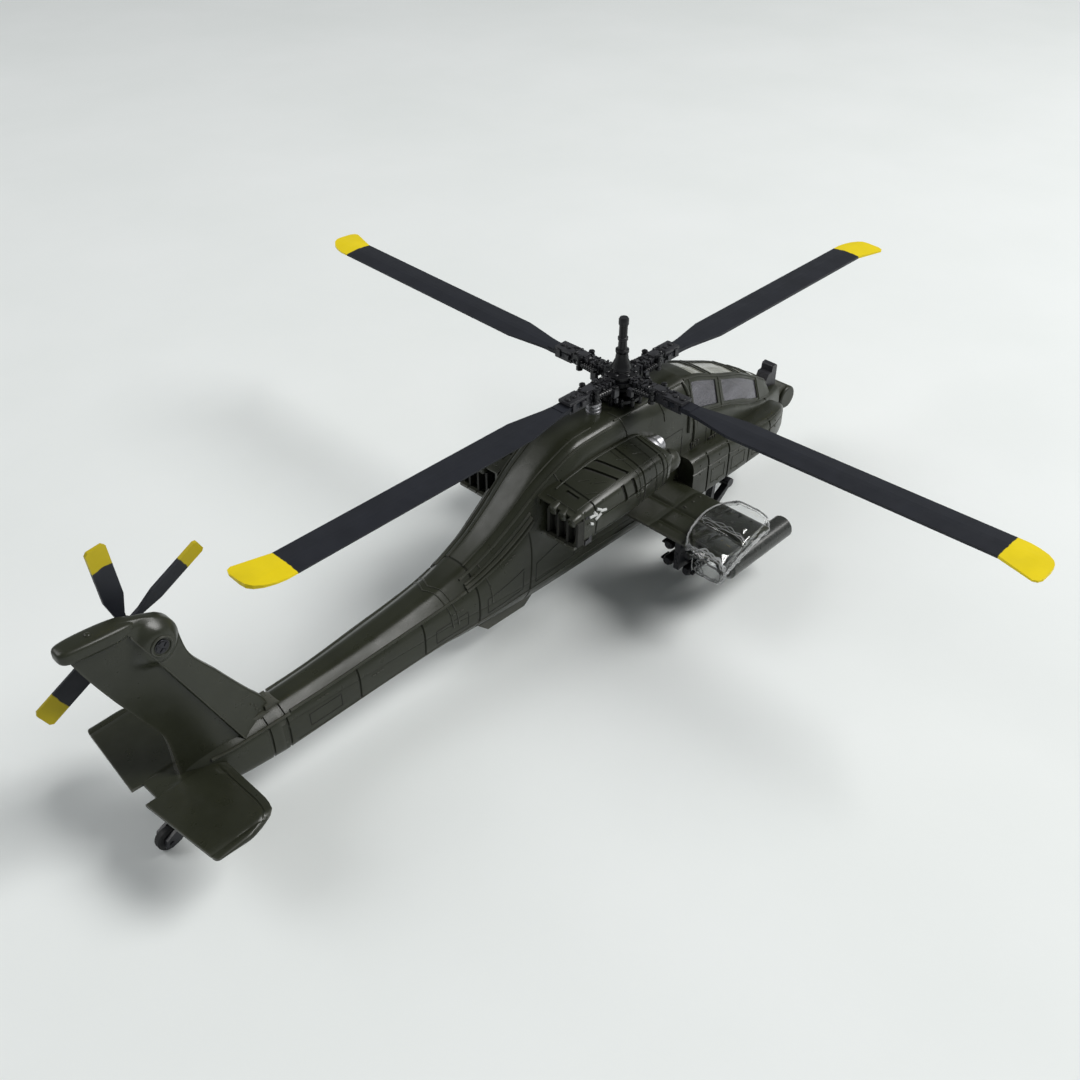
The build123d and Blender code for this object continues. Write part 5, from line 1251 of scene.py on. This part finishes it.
# ---------------------------------------------------------------- wheels
def make_wheels():
    """Tyres with three tread grooves and rounded shoulders."""
    for name in ("left", "right"):
        centre, size = box_mm(f"main_tyre_{name}")
        radius = size.z / 2
        tyre = Solids()
        profile = [(0.35, 3.3), (0.0, 3.9), (0.05, 4.7), (0.5, 5.5), (1.1, radius - 0.05)]
        for k in range(3):
            y = 1.30 + 0.95 * k
            groove = radius - 0.3
            profile += [(y, radius), (y + 0.1, groove), (y + 0.35, groove), (y + 0.45, radius)]
        profile += [(3.5, radius - 0.05), (4.1, 5.5), (4.55, 4.7), (4.6, 3.9), (4.25, 3.3)]
        tyre.lathe((centre.x, centre.y - size.y / 2, centre.z), (0, 1, 0), profile, 48)
        tyre.piece(f"tyre_{name}", "tyre_rubber", f"wheel_{name}", stands_for=(f"main_tyre_{name}",),
                   sharp=30)


# ---------------------------------------------------------------- clear film on the starboard wing tip
# Rear and front values of x and of the y of both long edges.
FILM_X = (12.6, 42.0)
FILM_INNER_Y, FILM_OUTER_Y = (-37.2, -30.8), (-51.4, -46.9)
FILM_SOFT = [0, 0.35, 0.42, 0.45, 0.42, 0]
FILM_T_END, FOLD_S = 5.0, 0.50


def film_point(s, t, lift=0.0):
    """Point on the film: s runs from the rear to the front edge, t round the wing tip from the top down."""
    along = min(1.0, max(0.0, s))
    x, inner, outer = (rear + (front - rear) * s for rear, front in (FILM_X, FILM_INNER_Y, FILM_OUTER_Y))
    x += 1.6 * along ** 3 * math.sin(math.pi * min(1.0, max(0.0, t / 2.6)))
    inner += 3.4 * math.sin(math.pi * along) ** 0.8 - 2.4 * along ** 7 - 1.2 * (1 - along) ** 7
    dome = 1.9 * abs(math.sin(2 * math.pi * along ** 0.9)) ** 0.55 - 0.2
    corners = [Vector(c) for c in ((inner, 27.0), (inner - 1.6, 27.8 + dome), (outer + 1.4, 27.8 + dome),
                                   (outer, 24.4), (outer + 1.8, 21.4), (inner - 2.5, 21.6))]
    place = rounded(corners, FILM_SOFT, t)
    if lift:
        ahead = rounded(corners, FILM_SOFT, t + 0.02) - place
        place = place + Vector((ahead.y, -ahead.x)).normalized() * lift
    return Vector((x, place.x, place.y))


def make_film():
    """Thin clear film wrapped over the starboard wing tip, with fine drawn wrinkles."""
    rows, columns = 111, 151
    verts = []
    for i in range(rows):
        s = i / (rows - 1)
        for j in range(columns):
            t = FILM_T_END * j / (columns - 1)
            flat = film_point(s, t)
            edge = max(0.0, 1 - min(s, 1 - s) / 0.10, 1 - min(t, FILM_T_END - t) / 0.35)
            drawn = noise_at(Vector((flat.x * 0.055, flat.y * 0.40, flat.z * 0.30)), 3)
            broad = noise_at(flat * 0.10, 1)
            crimp = noise_at(flat * 0.75, 11)
            lift = 0.34 * drawn + 0.55 * broad + 0.50 * crimp * edge ** 1.3 - 0.5 * edge ** 2
            verts.append(film_point(s, t, min(max(lift, -0.9), 0.55)))
    faces = [quad for _, _, quad in grid(rows, columns)]
    film = make_piece("clear_film_wrap", verts, faces, "clear_film", "root", ("film_wrap",), sharp=180,
                      solid=0.06)


def make_film_hems():
    """Crinkled strands along the hems and the fold of the film."""
    hems = Solids()
    for fixed, along_s in ((0.03, False), (0.97, False), (FOLD_S, False), (0.12, True), (4.6, True),
                           (2.72, True)):
        for strand in range(4):
            path = []
            for k in range(91):
                f = 0.02 + 0.96 * k / 90
                s, t = (f, fixed) if along_s else (fixed, 0.1 + 4.6 * f)
                shift = 0.020 * noise_at(Vector((k * 0.22, strand * 5.0, fixed)), 21 + strand)
                s, t = (s, t + 9 * shift + 0.07 * strand) if along_s else (s + shift * 2 + 0.012 * strand, t)
                if fixed == FOLD_S and t > 2.4:
                    break
                path.append(film_point(min(max(s, 0.0), 1.0), t, 0.25 + 16 * abs(shift)))
            hems.line(path, 0.07 if fixed == FOLD_S else 0.12 + 0.045 * strand, 6)
    hems.piece("clear_film_hems", "clear_film", material=FILM_HEM)


def noise_at(point, seed):
    """Noise from -1 to 1 at a point, different for every seed."""
    return mathutils.noise.noise(point + Vector((seed * 3.7, seed * 1.3, seed * 2.1)))


# ---------------------------------------------------------------- belly screws and small marks
def make_belly_screws():
    """Cross screws in the bosses on the belly."""
    screws = Solids()
    for x in BODY_SCREW_XS:
        belly = hull_point(skin_table(x), x, HULL_U_END).z
        cross_screw(screws, (x, 0, belly + 0.35), (0, 0, -1), 1.9, 0.5)
    screws.piece("belly_screws", "screw_steel", stands_for=("body_screws",), bevel=0.04)


def make_beacon():
    """Bright beacon with three ribs."""
    beacon = Solids()
    centre, size = box_mm("beacon")
    profile = [(0, 1.9)]
    for k in range(3):
        rib = size.z * (0.14 + 0.28 * k)
        profile += [(rib, 1.8), (rib + 0.25, 2.3), (rib + 0.85, 2.3), (rib + 1.1, 1.8)]
    profile += [(size.z - 0.3, 1.5), (size.z, 1.0)]
    beacon.lathe((centre.x, 0, centre.z - size.z / 2), (0, 0, 1), profile, 32)
    beacon.piece("ribbed_beacon", "silver_plastic", stands_for=("beacon",), sharp=25)


def make_pale_splash():
    """Short pale strokes on the side of the starboard nacelle."""
    mark = Solids()
    for x, u, length, turn in ((-12.2, 2.72, 2.0, 0.2), (-9.6, 2.56, 1.9, 1.0), (-10.4, 2.92, 2.0, -0.7),
                               (-8.2, 2.74, 1.8, 0.5), (-11.4, 2.62, 1.6, 1.4), (-13.2, 3.1, 1.2, 0.9)):
        along, across = 1.5 * length * math.cos(turn), 0.13 * length * math.sin(turn)
        path = [nacelle_point(x + along * t, u + across * t, -1, 0.03) for t in (-0.5, 0, 0.5)]
        mark.line(path, 0.42, 8)
    mark.piece("nacelle_pale_splash", "olive_paint", material=PALE_MARK)


make_hull()
make_hull_beads()
make_hull_seams_and_vents()
make_fin()
make_fin_cap()
make_fin_trim()
make_stabilizer()
for side_name, side in (("left", 1), ("right", -1)):
    make_wing(side_name, side)
    make_nacelle(side_name, side)
    make_nacelle_openings(side_name, side)
    make_nacelle_trim(side_name, side)
    make_intake_fairing(side_name, side)
    make_bay(side_name, side)
make_intakes()
make_canopy()
make_canopy_trim()
make_cockpit_details()
make_rotor_head()
make_mast()
make_swashplate()
make_wheels()
make_film()
make_film_hems()
make_belly_screws()
make_beacon()
make_pale_splash()

# ---------------------------------------------------------------- looks of the remaining parts
PAINT_OF = {
    "tail_blade_pair_upright": TAIL_BLADES, "tail_blade_pair_slanted": TAIL_BLADES,
    "rocket_pod_left": POD_PAINT, "rocket_pod_right": POD_PAINT, "night_sensor": MATERIALS["black_plastic"],
}
THIN_NODES = ("body_screws", "blade_pins", "canopy_glazing", "film_wrap")
for name, item in NODES.items():
    item.data.materials.clear()
    item.data.materials.append(PAINT_OF.get(name, MATERIALS[SLOT_OF[name]]))
    shade(item.data, 35.0)
    if name not in THIN_NODES:
        soften(item, 0.08 if "blade" in name else 0.12)


# ---------------------------------------------------------------- floor and light
LIGHTS_AIM = Vector((0, 0, 0.03))


def make_floor():
    """Matt pale table top."""
    half = 3.0
    data = bpy.data.meshes.new("floor")
    data.from_pydata([(-half, -half, 0), (half, -half, 0), (half, half, 0), (-half, half, 0)], [],
                     [(0, 1, 2, 3)])
    floor = bpy.data.objects.new("floor", data)
    bpy.context.scene.collection.objects.link(floor)
    material, tree, shader = new_material("floor")
    tone = mix_colour(tree, cloud(tree, 9.0, 6.0), (0.80, 0.83, 0.82), (0.84, 0.865, 0.86))
    tree.links.new(tone, shader.inputs["Base Color"])
    shader.inputs["Roughness"].default_value = 0.9
    bump(tree, shader, noise(tree, 500.0, 3.0), 0.02 * MM)
    data.materials.append(material)


def area_light(name, place, size, power, colour):
    """Rectangular light that looks at the middle of the object."""
    data = bpy.data.lights.new(name, "AREA")
    data.shape = "RECTANGLE"
    data.size, data.size_y = size
    data.energy = power
    data.color = colour
    light = bpy.data.objects.new(name, data)
    bpy.context.scene.collection.objects.link(light)
    light.location = place
    light.rotation_mode = "QUATERNION"
    light.rotation_quaternion = (LIGHTS_AIM - Vector(place)).to_track_quat("-Z", "Y")


def make_light():
    """Grey surroundings, darker overhead, with a soft key light to starboard and a weaker fill to port."""
    world = bpy.data.worlds.new("studio")
    bpy.context.scene.world = world
    world.use_nodes = True
    tree = world.node_tree
    back = tree.nodes["Background"]
    split = node(tree, "ShaderNodeSeparateXYZ")
    tree.links.new(node(tree, "ShaderNodeTexCoord").outputs["Generated"], split.inputs[0])
    height = mapped(tree, split.outputs["Z"], 0.0, 0.95, 0.0, 1.0)
    tree.links.new(mix_colour(tree, height, (0.30, 0.315, 0.32), (0.14, 0.145, 0.15)), back.inputs["Color"])
    back.inputs["Strength"].default_value = 1.0
    area_light("key", (0.80, -0.80, 1.30), (0.8, 0.8), 25.0, (1.0, 0.995, 0.98))
    area_light("fill", (-0.80, 0.95, 1.20), (1.0, 1.0), 9.0, (1.0, 1.0, 1.0))


make_camera()
make_floor()
make_light()
bpy.context.scene.view_settings.view_transform = "Standard"
